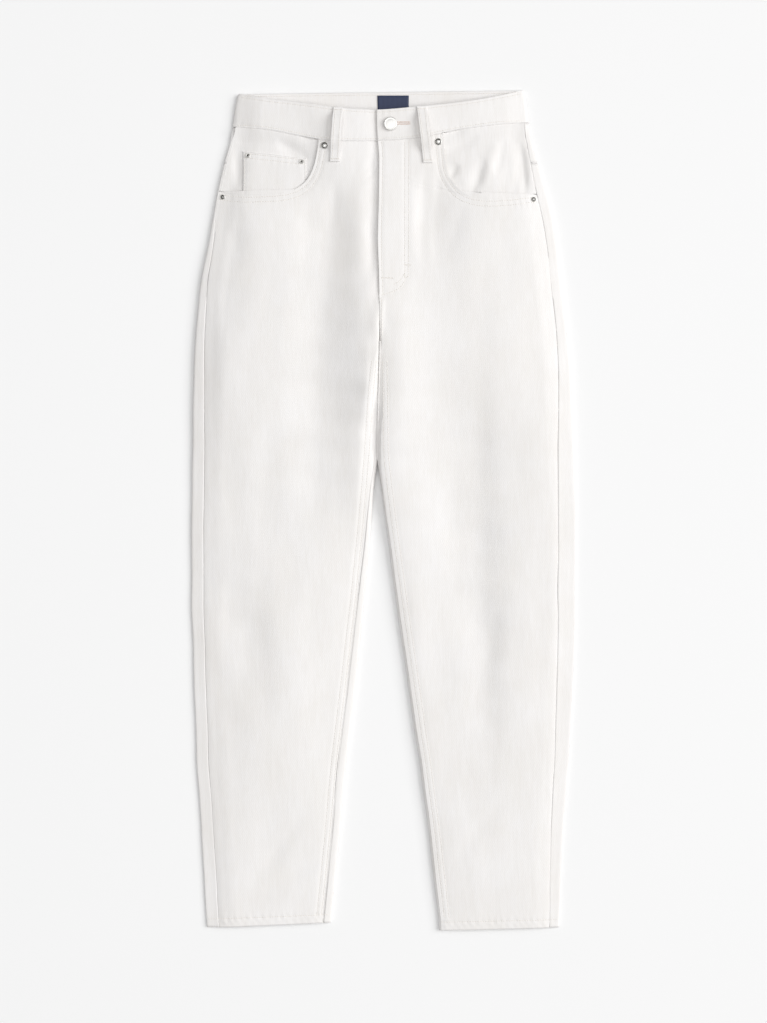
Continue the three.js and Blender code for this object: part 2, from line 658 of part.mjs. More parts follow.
function button() {
  const { radius, height } = BUTTON;
  const profile = [
    [0, 0],
    [radius * 0.9, 0],
    [radius, height * 0.3],
    [radius * 0.96, height * 0.75],
    [radius * 0.78, height],
    [radius * 0.68, height * 0.84],
    [0, height * 0.8],
  ];
  turned('button', profile, 22, skinOver(BUTTON.x, BUTTON.y), BAND_RISE);
}

const RIVETS = table(['name', 'x', 'y', 'radius', 'on'], [
  ['rivet_pocket_right', -72.8, 450, 4.5, 'panel'],
  ['rivet_pocket_left', 67.5, 454.6, 4.5, 'panel'],
  ['rivet_side_right', -199, 387.6, 3.2, 'panel'],
  ['rivet_side_left', 185.4, 384.3, 3.2, 'panel'],
  ['rivet_coin_outer', -167.6, 438.6, 3, 'coin'],
  ['rivet_coin_inner', -101.2, 430.8, 3, 'coin'],
]);

function rivet({ name, x, y, radius, on }) {
  const profile = [
    [0, 0],
    [radius, 0],
    [radius * 0.92, radius * 0.22],
    [radius * 0.45, radius * 0.28],
    [radius * 0.36, radius * 0.42],
    [0, radius * 0.46],
  ];
  const onCoin = on === 'coin';
  const at = skinOver(x, y, onCoin ? facingLift(RIGHT) : flat);
  turned(name, profile, 14, at, onCoin ? GAP + COIN.cloth : 0);
}

// The tab inside the back of the waistband
const WAIST_TAB = { left: -7.2, right: 31.6, top: 513.4, foot: 484, thickness: 0.6 };

function waistTab() {
  const { left, right, top, foot, thickness } = WAIST_TAB;
  const mesh = addMesh('waist_tab', new THREE.BoxGeometry(right - left, top - foot, thickness), TAB);
  const seat = PLATEAU + BAND + GAP;
  mesh.position.set((left + right) / 2, (top + foot) / 2, seat + thickness / 2);
}

for (const half of [RIGHT, LEFT]) {
  frontPanel(half);
  backPanel(half);
  yoke(half);
  pocketFacing(half);
  backPocket(half);
}
coinPocket();
waistband();
FRONT_LOOPS.forEach(frontLoop);
BACK_LOOPS.forEach(backLoop);
zip();
button();
RIVETS.forEach(rivet);
waistTab();

export default garment;
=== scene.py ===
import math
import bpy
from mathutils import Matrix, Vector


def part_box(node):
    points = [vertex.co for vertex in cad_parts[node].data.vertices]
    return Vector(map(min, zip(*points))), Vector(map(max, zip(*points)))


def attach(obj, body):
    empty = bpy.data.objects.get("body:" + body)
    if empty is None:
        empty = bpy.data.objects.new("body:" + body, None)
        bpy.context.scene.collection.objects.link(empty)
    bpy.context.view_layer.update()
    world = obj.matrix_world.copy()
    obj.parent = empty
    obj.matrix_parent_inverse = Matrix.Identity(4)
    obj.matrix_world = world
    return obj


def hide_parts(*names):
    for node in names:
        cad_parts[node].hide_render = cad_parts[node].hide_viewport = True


bl_info = {
    "name": "Mom jeans, laid flat",
    "version": (1, 0, 0),
    "blender": (4, 5, 0),
    "location": "3D View > Sidebar > Jeans",
    "description": "Dresses the jeans' walls of cloth with creases, stitching, metal trim and finishes",
    "category": "Object",
}

import bmesh
import bpy
import numpy as np
from mathutils import Matrix, Vector
from mathutils.bvhtree import BVHTree

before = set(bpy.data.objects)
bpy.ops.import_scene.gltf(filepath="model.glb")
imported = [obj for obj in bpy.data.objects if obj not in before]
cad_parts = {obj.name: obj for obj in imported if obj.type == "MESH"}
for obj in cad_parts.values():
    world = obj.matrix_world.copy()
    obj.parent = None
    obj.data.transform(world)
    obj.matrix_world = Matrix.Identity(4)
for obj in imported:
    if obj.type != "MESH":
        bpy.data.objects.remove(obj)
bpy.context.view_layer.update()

MM = 0.001
SIDES = ("right", "left")  # the wearer's


def table(columns, rows):
    return [dict(zip(columns, row)) for row in rows]


# Lines of the pattern, in mm, seen from above: +X to the wearer's left, +Y to the waist

# Edges and seams of the two legs at a height y. The centre front stands in for the inner edges above
# the crotch.
EDGES = table(
    (
        "y", "right_outer", "right_side", "right_inseam", "right_inner",
        "left_outer", "left_side", "left_inseam", "left_inner",
    ),
    [
        (-514, -218.7, -203.7, -75.6, -65.6, 217.4, 205.3, 74.2, 68.7),
        (-470, -221.3, -206.3, -71.1, -60.9, 218.9, 205.8, 69.6, 64.1),
        (-409, -225.0, -210.0, -65.0, -54.5, 221.3, 206.8, 62.9, 57.4),
        (-310, -231.0, -216.5, -56.0, -45.0, 229.4, 211.4, 49.8, 44.3),
        (-210, -234.5, -220.0, -44.0, -33.5, 235.0, 214.5, 35.3, 29.8),
        (-111, -237.5, -222.5, -32.5, -23.0, 237.2, 215.7, 21.0, 15.5),
        (-12, -237.5, -222.5, -22.5, -14.5, 237.5, 216.0, 7.5, 2.5),
        (67, -236.5, -221.5, -15.5, -9.5, 236.0, 216.0, -2.0, -6.0),
        (137, -236.0, -222.0, -11.0, -7.0, 233.0, 216.0, -2.8, -5.3),
        (199, -233.5, -221.5, -5.0, -5.0, 229.0, 215.0, -3.7, -3.7),
        (235, -230.9, -220.3, -5.1, -5.1, 225.2, 212.5, -4.3, -4.3),
        (273, -227.0, -218.0, -5.5, -5.5, 220.5, 208.5, -5.5, -5.5),
        (305, -221.8, -214.3, -6.4, -6.4, 216.7, 204.7, -6.5, -6.5),
        (335, -216.0, -210.0, -7.0, -7.0, 212.7, 200.7, -7.0, -7.0),
        (360, -211.6, -207.4, -6.6, -6.6, 208.8, 196.3, -6.6, -6.6),
        (385, -207.0, -203.8, -6.0, -6.0, 204.0, 191.0, -6.0, -6.0),
        (410, -201.7, -198.1, -5.4, -5.4, 196.7, 185.7, -5.4, -5.4),
        (434, -196.0, -192.0, -5.0, -5.0, 189.0, 181.0, -5.0, -5.0),
        (455, -189.4, -186.3, -6.8, -6.8, 182.6, 176.3, -6.8, -6.8),
    ],
)

# The waistband's edges: its top on the front and on the back, and its seam on the front
WAIST = table(
    ("x", "top", "seam", "back_top"),
    [
        (-179, 515.0, 474.3, 515.0), (-160, 511.1, 472.8, 515.2), (-140, 507.9, 470.4, 515.5),
        (-120, 505.5, 466.4, 515.8), (-100, 503.0, 462.0, 516.0), (-80, 500.1, 457.9, 516.3),
        (-60, 496.9, 455.9, 516.6), (-40, 495.3, 455.5, 516.8), (-20, 494.3, 455.8, 517.1),
        (0, 494.2, 456.3, 517.3), (20, 495.7, 457.3, 517.6), (40, 497.5, 459.2, 517.9),
        (60, 499.6, 463.0, 518.1), (80, 501.9, 467.5, 518.4), (100, 504.5, 471.3, 518.6),
        (120, 507.5, 474.4, 518.9), (140, 511.3, 477.3, 519.2), (160, 515.9, 478.9, 519.4),
        (174, 519.6, 479.6, 519.6),
    ],
)

MOUTHS = {
    "right": [
        (-201.8, 394), (-177, 390), (-150, 390), (-122, 392),
        (-101, 400), (-88, 417), (-82, 440), (-80, 457.7),
    ],
    "left": [
        (189.8, 390.5), (175, 388.5), (148, 385), (119, 385),
        (96, 393), (80, 414), (75, 440), (73.5, 465.6),
    ],
}
COIN_LEFT, COIN_RIGHT = -173.7, -95.0  # the coin pocket's edges
LOOPS = {"right": [(-55.8, 496.6), (-60.1, 430)], "left": [(47.1, 498), (54.9, 428.7)]}
FLY_EDGE = [
    (-7.2, 457), (-5.2, 440), (-5.4, 410), (-6.6, 360), (-7.0, 335), (-6.4, 305), (-5.5, 273), (-4.6, 264),
]
J_INNER = [(26.4, 455), (26.4, 300), (25.2, 291), (20.6, 283), (12.6, 278)]
J_OUTER = [(31.0, 456), (30.8, 302), (28.6, 288), (22.8, 277), (14.0, 270), (-3.0, 264.5)]
HEM_RISE = 10.2
HEMS = {
    "right": [(-217.5, -516.2 + HEM_RISE), (-68.0, -510.6 + HEM_RISE)],
    "left": [(71.0, -520.0 + HEM_RISE), (216.0, -516.7 + HEM_RISE)],
}


def edge_x(name, y):
    return np.interp(y, [row["y"] for row in EDGES], [row[name] for row in EDGES])


def waist_y(name, x):
    return np.interp(x, [row["x"] for row in WAIST], [row[name] for row in WAIST])


def seam_line(name, y0, y1, aside=0.0, step=12.0):
    """A line that follows a seam of EDGES from one height to another, some way to the side of it"""
    count = max(2, int(abs(y1 - y0) / step))
    return [(edge_x(name, y) + aside, y) for y in np.linspace(y0, y1, count)]


def waist_line(name, x0, x1, below, step=10.0):
    """A line that follows an edge of WAIST, some way below it"""
    count = max(2, int(abs(x1 - x0) / step))
    return [(x, waist_y(name, x) - below) for x in np.linspace(x0, x1, count)]


def smooth_line(points, count=60):
    """A smooth line through a few points"""
    p = np.array([points[0], *points, points[-1]], float)
    line = []
    for share in np.linspace(0, len(points) - 1, count):
        i = min(int(share), len(points) - 2)
        t = share - i
        a, b, c, d = p[i : i + 4]
        bend = 2 * b + (c - a) * t + (2 * a - 5 * b + 4 * c - d) * t**2 + (3 * b - a - 3 * c + d) * t**3
        line.append(tuple(0.5 * bend))
    return line


def beside(line, distance):
    """The line a distance to the right of the way that it runs"""
    p = np.array(line, float)
    way = np.gradient(p, axis=0)
    way /= np.linalg.norm(way, axis=1)[:, None]
    return [(x + distance * dy, y - distance * dx) for (x, y), (dx, dy) in zip(p, way)]


def spaced(line, pitch):
    """Places spaced evenly along a line, and the line's direction at each"""
    p = np.array(line, float)
    runs = np.r_[0, np.cumsum(np.hypot(*np.diff(p, axis=0).T))]
    count = max(1, round(runs[-1] / pitch))
    at = (np.arange(count) + 0.5) * runs[-1] / count
    ways = []
    for s in at:
        i = min(int(np.searchsorted(runs, s, side="right")) - 1, len(p) - 2)
        way = p[i + 1] - p[i]
        ways.append(way / np.linalg.norm(way))
    return np.c_[np.interp(at, runs, p[:, 0]), np.interp(at, runs, p[:, 1])], ways


# Rows of stitches: the group of each, where it runs, and how much it puckers its cloth, in mm


def loop_edge(side, aside):
    (x1, y1), (x0, y0) = LOOPS[side]
    return [(x1 + aside, y1 - 2), (x0 + aside, y0 + 2)]


def front_rows():
    mouth_right, mouth_left = (smooth_line(MOUTHS[side]) for side in SIDES)
    coin_left, coin_right = COIN_LEFT + 1.6, COIN_RIGHT - 1.6
    rows = [
        ("waistband", waist_line("top", -176, 171, 3.2), 0.16),
        ("waistband", waist_line("seam", -181, 173, -2.4), 0.16),
        ("waistband", waist_line("back_top", -172, 168, 3.0), 0.12),
        ("fly", beside(smooth_line(FLY_EDGE), -4.4), 0.12),
        ("fly", smooth_line(J_INNER), 0.16),
        ("fly", smooth_line(J_OUTER), 0.16),
        ("fly", seam_line("left_inner", 262, 214, 2.4, 8), 0.2),
        ("pockets", beside(mouth_right, 3.0), 0.14),
        ("pockets", beside(mouth_right, 9.0), 0.16),
        ("pockets", beside(mouth_left, -3.0), 0.14),
        ("pockets", beside(mouth_left, -9.0), 0.16),
        ("coin", [(coin_left, 441.6), (coin_right, 432.6)], 0.12),
        ("coin", [(coin_left, 436.2), (coin_right, 427.2)], 0.12),
        ("coin", [(COIN_LEFT + 1.8, 441), (COIN_LEFT + 1.8, 390)], 0.12),
        ("coin", [(COIN_RIGHT - 1.8, 432), (COIN_RIGHT - 1.8, 404)], 0.1),
        ("right_leg", HEMS["right"], 0.16),
        ("right_leg", seam_line("right_inseam", -500, 184, -2.4), 0.22),
        ("right_leg", seam_line("right_inseam", -500, 184, -8.0), 0.2),
        ("left_leg", HEMS["left"], 0.16),
        ("left_leg", seam_line("left_inseam", -504, 184, 2.4), 0.22),
        ("left_leg", seam_line("left_inseam", -504, 184, 8.0), 0.2),
    ]
    for side in SIDES:
        rows.append((f"loop_{side}", loop_edge(side, -3.4), 0.0))
        rows.append((f"loop_{side}", loop_edge(side, 3.4), 0.0))
    return rows


POCKET_MIDDLES = (-89.7, 78.3)  # the back pockets' middles


def back_rows():
    """Rows of the side that lies on the ground, which don't pucker it"""
    rows = [
        ("back", seam_line("right_inner", 226, 380, -2.4)),
        ("back", seam_line("right_inner", 226, 378, -8.0)),
        ("back", [(-4, 381.6), (-196, 427.4)]),
        ("back", [(-4, 376), (-194, 421.6)]),
        ("back", [(-8, 381.6), (182, 427.4)]),
        ("back", [(-8, 376), (180, 421.6)]),
        ("back", [(-176, 477), (172, 482)]),
        ("back", [(-172, 511.8), (168, 516.2)]),
        ("back", HEMS["right"]),
        ("back", HEMS["left"]),
    ]
    for middle in POCKET_MIDDLES:
        for inset in (2.4, 8.2):
            left, right = middle - 64 + inset, middle + 64 - inset
            lean = 8 - inset / 3
            foot = 234 + inset
            around = [
                (left, 371), (left + lean, foot), (middle, 220 + inset), (right - lean, foot), (right, 371),
            ]
            rows.append(("back_pockets", around))
        rows.append(("back_pockets", [(middle - 61, 362), (middle + 61, 362)]))
        rows.append(("back_pockets", [(middle - 61, 371.6), (middle + 61, 371.6)]))
    return rows


# Bartacks at the fly and at the ends of the front belt loops
TACKS = [
    ("fly", [(25.2, 302.2), (34.2, 302.2)]),
    ("fly", [(-3.0, 285.8), (12.4, 285.8)]),
    ("loop_right", [(-61.4, 493.6), (-50.4, 493.6)]),
    ("loop_right", [(-65.6, 433.2), (-54.6, 433.2)]),
    ("loop_left", [(41.8, 495.0), (52.8, 495.0)]),
    ("loop_left", [(49.2, 432.0), (60.2, 432.0)]),
]

# The relief of the cloth, in mm, on a grid of 1 mm over the whole garment
ORIGIN = (-250.0, -535.0)
SHAPE = (1071, 501)
GRID_X, GRID_Y = np.meshgrid(ORIGIN[0] + np.arange(SHAPE[1]), ORIGIN[1] + np.arange(SHAPE[0]))


def smoothstep(value, low, high):
    t = np.clip((value - low) / (high - low), 0, 1)
    return t * t * (3 - 2 * t)


def window(x0, y0, x1, y1, margin):
    """The part of the grid round a run, as slices"""
    spans = []
    for low, high, start in ((*sorted((y0, y1)), ORIGIN[1]), (*sorted((x0, x1)), ORIGIN[0])):
        spans.append(slice(max(0, int(low - margin - start)), max(0, int(high + margin - start) + 2)))
    return tuple(spans)


# Creases of the upper side: troughs where the height is below 0, ridges above. They run from one end
# to the other, bend sideways by their bow, and fall away over their reach on the left and on the
# right of the way that they run. All run upwards or to the right.
CREASE = ("x0", "y0", "x1", "y1", "left", "right", "height", "bow")
CREASES = table(
    CREASE,
    [
        # left pocket's facing
        (107, 388, 124, 436, 7, 5, -2.4, 2),
        (140, 414, 151, 461, 6, 5, -1.6, -2),
        (176, 388, 168, 458, 7, 4, -2.6, 1),
        (160, 388, 166, 430, 4, 4, -1.0, 1),
        (76, 446, 118, 463, 5, 7, -1.5, 2),
        (82, 410, 92, 428, 5, 4, -1.8, 0),
        (124, 400, 140, 455, 7, 7, 1.7, 0),
        (150, 385, 160, 465, 8, 13, -1.1, 0),
        # right pocket's facing
        (-132, 458, -90, 434, 6, 8, -1.8, 2),
        (-180, 400, -184, 455, 4, 5, -1.3, 1),
        # beside and below the pockets
        (48, 300, 53, 424, 7, 11, -2.3, -2),
        (80, 320, 98, 380, 7, 7, -0.7, 2),
        (-192, 268, -178, 378, 6, 8, -0.9, 3),
        (-64, 345, -60, 408, 6, 6, -0.8, 0),
        (64, 300, 70, 440, 6, 20, -1.7, 0),
        (-196, 205, -186, 350, 8, 20, -2.3, 0),
        (-96, 300, -90, 392, 8, 12, -1.2, 0),
        # beside the fly, and down the thighs
        (-14, 280, -13.5, 452, 8, 4, -2.2, 0),
        (-66, 258, -62, 398, 16, 24, -2.6, 0),
        (-83, -20, -70, 290, 26, 38, -4.4, 0),
        (-22, -60, -18, 165, 24, 8, 2.9, 0),
        (-20, 100, -1, 262, 12, 4, 5.2, 0),
        (9, -75, -5, 226, 4, 42, 4.6, -5),
        (124, -195, 112, 175, 40, 24, -4.0, 0),
        (-168, -260, -166, 70, 48, 30, 1.8, 0),
        (-146, -60, -142, 110, 16, 26, -1.3, 0),
        # knees and lower legs
        (-190, -190, -186, -80, 12, 22, -1.8, 0),
        (-90, -190, -84, -75, 12, 16, -1.0, 0),
        (-172, -245, -148, -70, 12, 14, -0.9, -4),
        (-165, -465, -95, -360, 8, 10, -0.8, 5),
        (-150, -470, -70, -425, 7, 8, -0.9, 4),
        (110, -250, 150, -90, 9, 11, -0.9, 3),
        (134, -345, 112, 0, 20, 20, -2.3, 0),
        (-150, -262, -157, -120, 22, 16, -1.6, 0),
        (88, -440, 160, -350, 9, 9, -0.7, -4),
    ],
)

# Creases of the side that lies on the ground. The cloth can only rise off it, so they are low.
UNDER_CREASES = table(
    CREASE,
    [
        (-190, 150, -60, 205, 9, 12, 0.7, 6),
        (-200, 95, -80, 160, 8, 10, 0.6, 5),
        (60, 205, 190, 145, 10, 12, 0.7, -6),
        (75, 160, 200, 92, 8, 10, 0.6, -5),
        (-205, -95, -60, -60, 8, 11, 0.7, -7),
        (-195, -150, -70, -135, 8, 9, 0.6, 5),
        (50, -62, 200, -96, 8, 11, 0.7, 6),
        (60, -140, 195, -152, 8, 9, 0.6, -5),
        (-150, -440, -105, -250, 9, 9, 0.6, 6),
        (120, -430, 150, -250, 9, 9, 0.6, -6),
        (-120, 20, -110, 120, 8, 10, 0.5, 5),
        (108, 15, 118, 120, 8, 10, 0.5, -5),
    ],
)


def add_crease(lift, crease):
    x0, y0, x1, y1, left, right, height, bow = (crease[key] for key in CREASE)
    length = math.hypot(x1 - x0, y1 - y0)
    part = window(x0, y0, x1, y1, 3 * max(left, right) + abs(bow))
    x, y = GRID_X[part], GRID_Y[part]
    along = ((x - x0) * (x1 - x0) + (y - y0) * (y1 - y0)) / length**2
    inside = np.clip(along, 0, 1)
    away = ((x - x0) * (y1 - y0) - (y - y0) * (x1 - x0)) / length
    away = away - bow * 4 * inside * (1 - inside)
    uneven = 1 + 0.22 * np.sin(along * length / 17 + x0) + 0.12 * np.sin(along * length / 6.1 + y0)
    reach = np.where(away < 0, left, right) * (0.75 + 0.5 * np.sin(math.pi * inside))
    fade = np.sin(math.pi * inside) ** 0.8
    lift[part] += height * uneven * fade * np.exp(-((away / reach) ** 2))


def waves(reach_x, reach_y, seed, count=28):
    """Soft unevenness between about -1 and 1, with bumps of about these lengths in mm"""
    chance = np.random.default_rng(seed)
    total = np.zeros(SHAPE)
    for _ in range(count):
        kx, ky = chance.normal(0, 1 / reach_x), chance.normal(0, 1 / reach_y)
        total += np.sin(2.2 * (kx * GRID_X + ky * GRID_Y) + chance.uniform(0, 6.28))
    return total / math.sqrt(count)


def add_row(lift, line, pucker, seed, depth=0.42, reach=2.1):
    """A row of stitches pulls the cloth down in a narrow groove and puckers it on both sides"""
    near = np.full(SHAPE, 99.0)
    run = np.zeros(SHAPE)
    start = 0.0
    for (x0, y0), (x1, y1) in zip(line, line[1:]):
        length = math.hypot(x1 - x0, y1 - y0)
        part = window(x0, y0, x1, y1, 15)
        x, y = GRID_X[part], GRID_Y[part]
        along = np.clip(((x - x0) * (x1 - x0) + (y - y0) * (y1 - y0)) / length**2, 0, 1)
        far = np.hypot(x - x0 - along * (x1 - x0), y - y0 - along * (y1 - y0))
        closer = far < near[part]
        near[part] = np.where(closer, far, near[part])
        run[part] = np.where(closer, start + along * length, run[part])
        start += length
    # puckers are about 8 mm apart, and stronger and weaker along the row
    ripple = np.sin(run / 1.35 + 1.3 * np.sin(run / 9.0 + seed))
    ripple *= 0.65 + 0.35 * np.sin(run / 23.0 + 2 * seed)
    lift -= depth * np.exp(-((near / reach) ** 2))
    lift += pucker * ripple * np.exp(-((near / 5.2) ** 2))


def add_seam(lift, line, ridge_side, seed):
    """A seam is a narrow groove with the thicker fold of its allowance along one side"""
    add_row(lift, line, 0.12, seed, depth=0.16, reach=1.8)
    for share, height in ((3.0, 0.14), (6.5, 0.12)):
        fold = beside(line, share * ridge_side)
        add_row(lift, fold, 0.0, seed, depth=-height, reach=2.6)


def upper_relief():
    lift = np.zeros(SHAPE)
    for crease in CREASES:
        add_crease(lift, crease)
    lift += 0.28 * waves(60, 150, 3) + 0.13 * waves(20, 95, 5) + 0.045 * waves(8, 34, 8)
    for seed, (_, line, pucker) in enumerate(front_rows()):
        if pucker:
            add_row(lift, line, pucker, seed)
    add_seam(lift, seam_line("right_inseam", -512, 190), -1, 1)
    add_seam(lift, seam_line("left_inseam", -516, 190), 1, 2)
    add_seam(lift, seam_line("right_side", -512, 455), 1, 3)
    add_seam(lift, seam_line("left_side", -514, 455), -1, 4)
    # the hem's slant ridges, where its fold is dragged along by the machine
    for side in SIDES:
        (x0, y0), (x1, y1) = HEMS[side]
        above = GRID_Y - (y0 + (GRID_X - x0) * (y1 - y0) / (x1 - x0))
        inside = (GRID_X > x0 - 6) & (GRID_X < x1 + 6)
        band = np.exp(-(((above + 4.6) / 4.6) ** 4)) * inside
        lift += 0.13 * band * np.sin((GRID_X + 0.8 * above) / 1.55 + 1.5 * np.sin(GRID_X / 14))
    return lift


def under_relief():
    lift = np.zeros(SHAPE)
    for crease in UNDER_CREASES:
        add_crease(lift, crease)
    lift += 0.16 * (1 + waves(24, 50, 11))
    return np.clip(lift, 0, 0.9)


UPPER = upper_relief()
UNDER = under_relief()
SWAY = 0.35 * waves(60, 46, 21)  # how far the cloth's edges wander sideways
# The heights in mm between which the cloth takes on the upper relief, and loses the one below
UPPER_BLEND = (2.2, 5.4)
UNDER_BLEND = (1.8, 3.6)


def sample(grid, x, y):
    """A grid's values at places between its points"""
    column = np.clip(x - ORIGIN[0], 0, SHAPE[1] - 1.001)
    row = np.clip(y - ORIGIN[1], 0, SHAPE[0] - 1.001)
    i, j = column.astype(int), row.astype(int)
    u, v = column - i, row - j
    low = grid[j, i] * (1 - u) + grid[j, i + 1] * u
    high = grid[j + 1, i] * (1 - u) + grid[j + 1, i + 1] * u
    return low * (1 - v) + high * v


# The legs' folded edges: the side that its cloth lies on, the share of its height that it loses where it
# is pressed flat, how far in it is pressed, how far in its fold is sharpened, and how much
FOLDS = table(
    ("edge", "way", "press", "reach", "room", "sharpness"),
    [
        ("right_outer", 1, 0.46, 40, 5.5, 2.2),
        ("left_outer", -1, 0.44, 34, 5.5, 2.2),
        ("right_inner", -1, 0.26, 22, 11.0, 2.2),
        ("left_inner", 1, 0.14, 14, 18.0, 2.7),
    ],
)
LEG_PRESS = 0.34  # share of its height that a whole leg loses below the thigh
TOUCH = -1.4  # the gap between the thighs' folds where they are pressed together
WIDEST_GAP = 4.6  # the most that the thighs' folds are moved together


def press_edges(points):
    """Presses the legs: they and their folded edges lie lower, the folds are sharper, the thighs touch"""
    x, y = points[:, 0].copy(), points[:, 1]
    edge = {fold["edge"]: edge_x(fold["edge"], y) for fold in FOLDS}
    points[:, 2] *= 1 - LEG_PRESS * (1 - smoothstep(y, -70, 165))
    apart = 1 - smoothstep(y, 40, 170)
    below = (1 - smoothstep(y, 214, 258)) * (0.7 + 0.3 * smoothstep(y, -60, 60))
    gap = np.clip(edge["left_inner"] - edge["right_inner"] - TOUCH, 0, WIDEST_GAP)
    gap = gap * smoothstep(y, 22, 64) * (1 - smoothstep(y, 196, 208))
    for fold in FOLDS:
        way, room = fold["way"], fold["room"]
        inset = (x - edge[fold["edge"]]) * way
        inner = fold["edge"].endswith("inner")
        near = (1 - smoothstep(inset, -2, fold["reach"])) * (inset > -12 if inner else 1)
        points[:, 2] *= 1 - fold["press"] * (apart if inner else 1) * near
        depth = np.clip(inset / room, 0, 1)
        points[:, 0] -= way * (below if inner else 1) * room * (depth - depth ** fold["sharpness"])
        if inner:
            points[:, 0] -= way * 0.5 * gap * (1 - smoothstep(inset, 0, 16)) * (inset > -4)


def crumple(mesh, depth):
    """Moves a mesh's points by the relief. Points over each other move alike, so layers stay apart."""
    flat = np.empty(len(mesh.vertices) * 3)
    mesh.vertices.foreach_get("co", flat)
    points = flat.reshape(-1, 3) / MM
    press_edges(points)
    x, y, z = points[:, 0].copy(), points[:, 1].copy(), points[:, 2].copy()
    points[:, 2] += depth * sample(UPPER, x, y) * smoothstep(z, *UPPER_BLEND)
    points[:, 2] += depth * sample(UNDER, x, y) * (1 - smoothstep(z, *UNDER_BLEND))
    points[:, 0] += depth * sample(SWAY, x, y)
    mesh.vertices.foreach_set("co", (points * MM).ravel())
    mesh.update()


# Finishes


def colour(hex_code):
    """An sRGB hex colour as linear red, green, blue and alpha"""
    parts = [int(hex_code[i : i + 2], 16) / 255 for i in (1, 3, 5)]
    linear = [c / 12.92 if c <= 0.04045 else ((c + 0.055) / 1.055) ** 2.4 for c in parts]
    return (*linear, 1.0)


def add(tree, kind, links=None, values=None, **settings):
    """Adds a shader node with its settings, its sockets' values and the links into it"""
    made = tree.nodes.new("ShaderNode" + kind)
    for name, value in settings.items():
        setattr(made, name, value)
    for socket, value in (values or {}).items():
        made.inputs[socket].default_value = value
    for socket, source in (links or {}).items():
        tree.links.new(source, made.inputs[socket])
    return made


def new_material(name):
    """An empty material, with its tree and the place on the piece that its patterns read"""
    material = bpy.data.materials.new(name)
    material.use_nodes = True
    tree = material.node_tree
    tree.nodes.clear()
    return material, tree, add(tree, "TexCoord").outputs["Object"]


def close_material(tree, sockets):
    """Ends a material in a Principled shader. Its sockets are given as links or as values."""
    links = {name: value for name, value in sockets.items() if isinstance(value, bpy.types.NodeSocket)}
    values = {name: value for name, value in sockets.items() if name not in links}
    shader = add(tree, "BsdfPrincipled", links, values)
    add(tree, "OutputMaterial", {"Surface": shader.outputs["BSDF"]})


def per_mm(x, y, z):
    """A Mapping scale that makes a pattern's unit this long in mm along each axis"""
    return (1 / (x * MM), 1 / (y * MM), 1 / (z * MM))


# Sockets of a Mix node that mixes colours, which have the same names as those for numbers
MIX_A, MIX_B, MIXED = 6, 7, 2


def cotton_cloth(name, deep, pale, weave=1.0):
    """Woven cotton. Its warp yarns are uneven in thickness, which shows as faint upright streaks, and
    its twill lines and nap break up the light."""
    material, tree, place = new_material(name)
    # slubs: thick places in the warp yarns, 1.8 mm wide and about 18 mm long
    spread = add(tree, "Mapping", {"Vector": place}, {"Scale": per_mm(1.8, 18, 18)}).outputs["Vector"]
    slubs = add(tree, "TexNoise", {"Vector": spread}, {"Scale": 1.0, "Detail": 3.0, "Roughness": 0.6})
    # clouds of paler and deeper cloth left by the wash, 45 mm across
    spread = add(tree, "Mapping", {"Vector": place}, {"Scale": per_mm(45, 70, 45)}).outputs["Vector"]
    clouds = add(tree, "TexNoise", {"Vector": spread}, {"Scale": 1.0, "Detail": 2.0, "Roughness": 0.5})
    # twill lines are 1 mm apart on real denim; 2.2 mm is the finest that shows at this distance
    slant = {"Rotation": (0, 0, math.radians(28)), "Scale": per_mm(2.2, 2.2, 2.2)}
    spread = add(tree, "Mapping", {"Vector": place}, slant).outputs["Vector"]
    lines = {"Scale": 0.32, "Distortion": 1.6, "Detail": 2.0, "Detail Scale": 2.0}
    twill = add(tree, "TexWave", {"Vector": spread}, lines, wave_type="BANDS", bands_direction="X")
    # nap: short fibres, 0.9 mm
    spread = add(tree, "Mapping", {"Vector": place}, {"Scale": per_mm(0.9, 0.9, 0.9)}).outputs["Vector"]
    nap = add(tree, "TexNoise", {"Vector": spread}, {"Scale": 1.0, "Detail": 2.0, "Roughness": 0.7})
    tone = add(tree, "Math", {0: slubs.outputs["Fac"], 1: clouds.outputs["Fac"]}, operation="ADD")
    tone = add(tree, "MapRange", {"Value": tone.outputs["Value"]}, {"From Min": 0.7, "From Max": 1.3})
    mix = add(tree, "Mix", {"Factor": tone.outputs["Result"]}, {MIX_A: deep, MIX_B: pale}, data_type="RGBA")
    normal = {}
    for height, strength, distance in ((slubs, 0.20, 0.0005), (twill, 0.20, 0.0003), (nap, 0.25, 0.0003)):
        relief = {"Strength": strength * weave, "Distance": distance}
        bump = add(tree, "Bump", {"Height": height.outputs["Fac"], **normal}, relief)
        normal = {"Normal": bump.outputs["Normal"]}
    close_material(tree, {
        "Base Color": mix.outputs[MIXED],
        "Roughness": 0.92,
        "IOR": 1.46,
        "Specular IOR Level": 0.25,
        "Sheen Weight": 0.12,
        "Sheen Roughness": 0.6,
        **normal,
    })
    return material


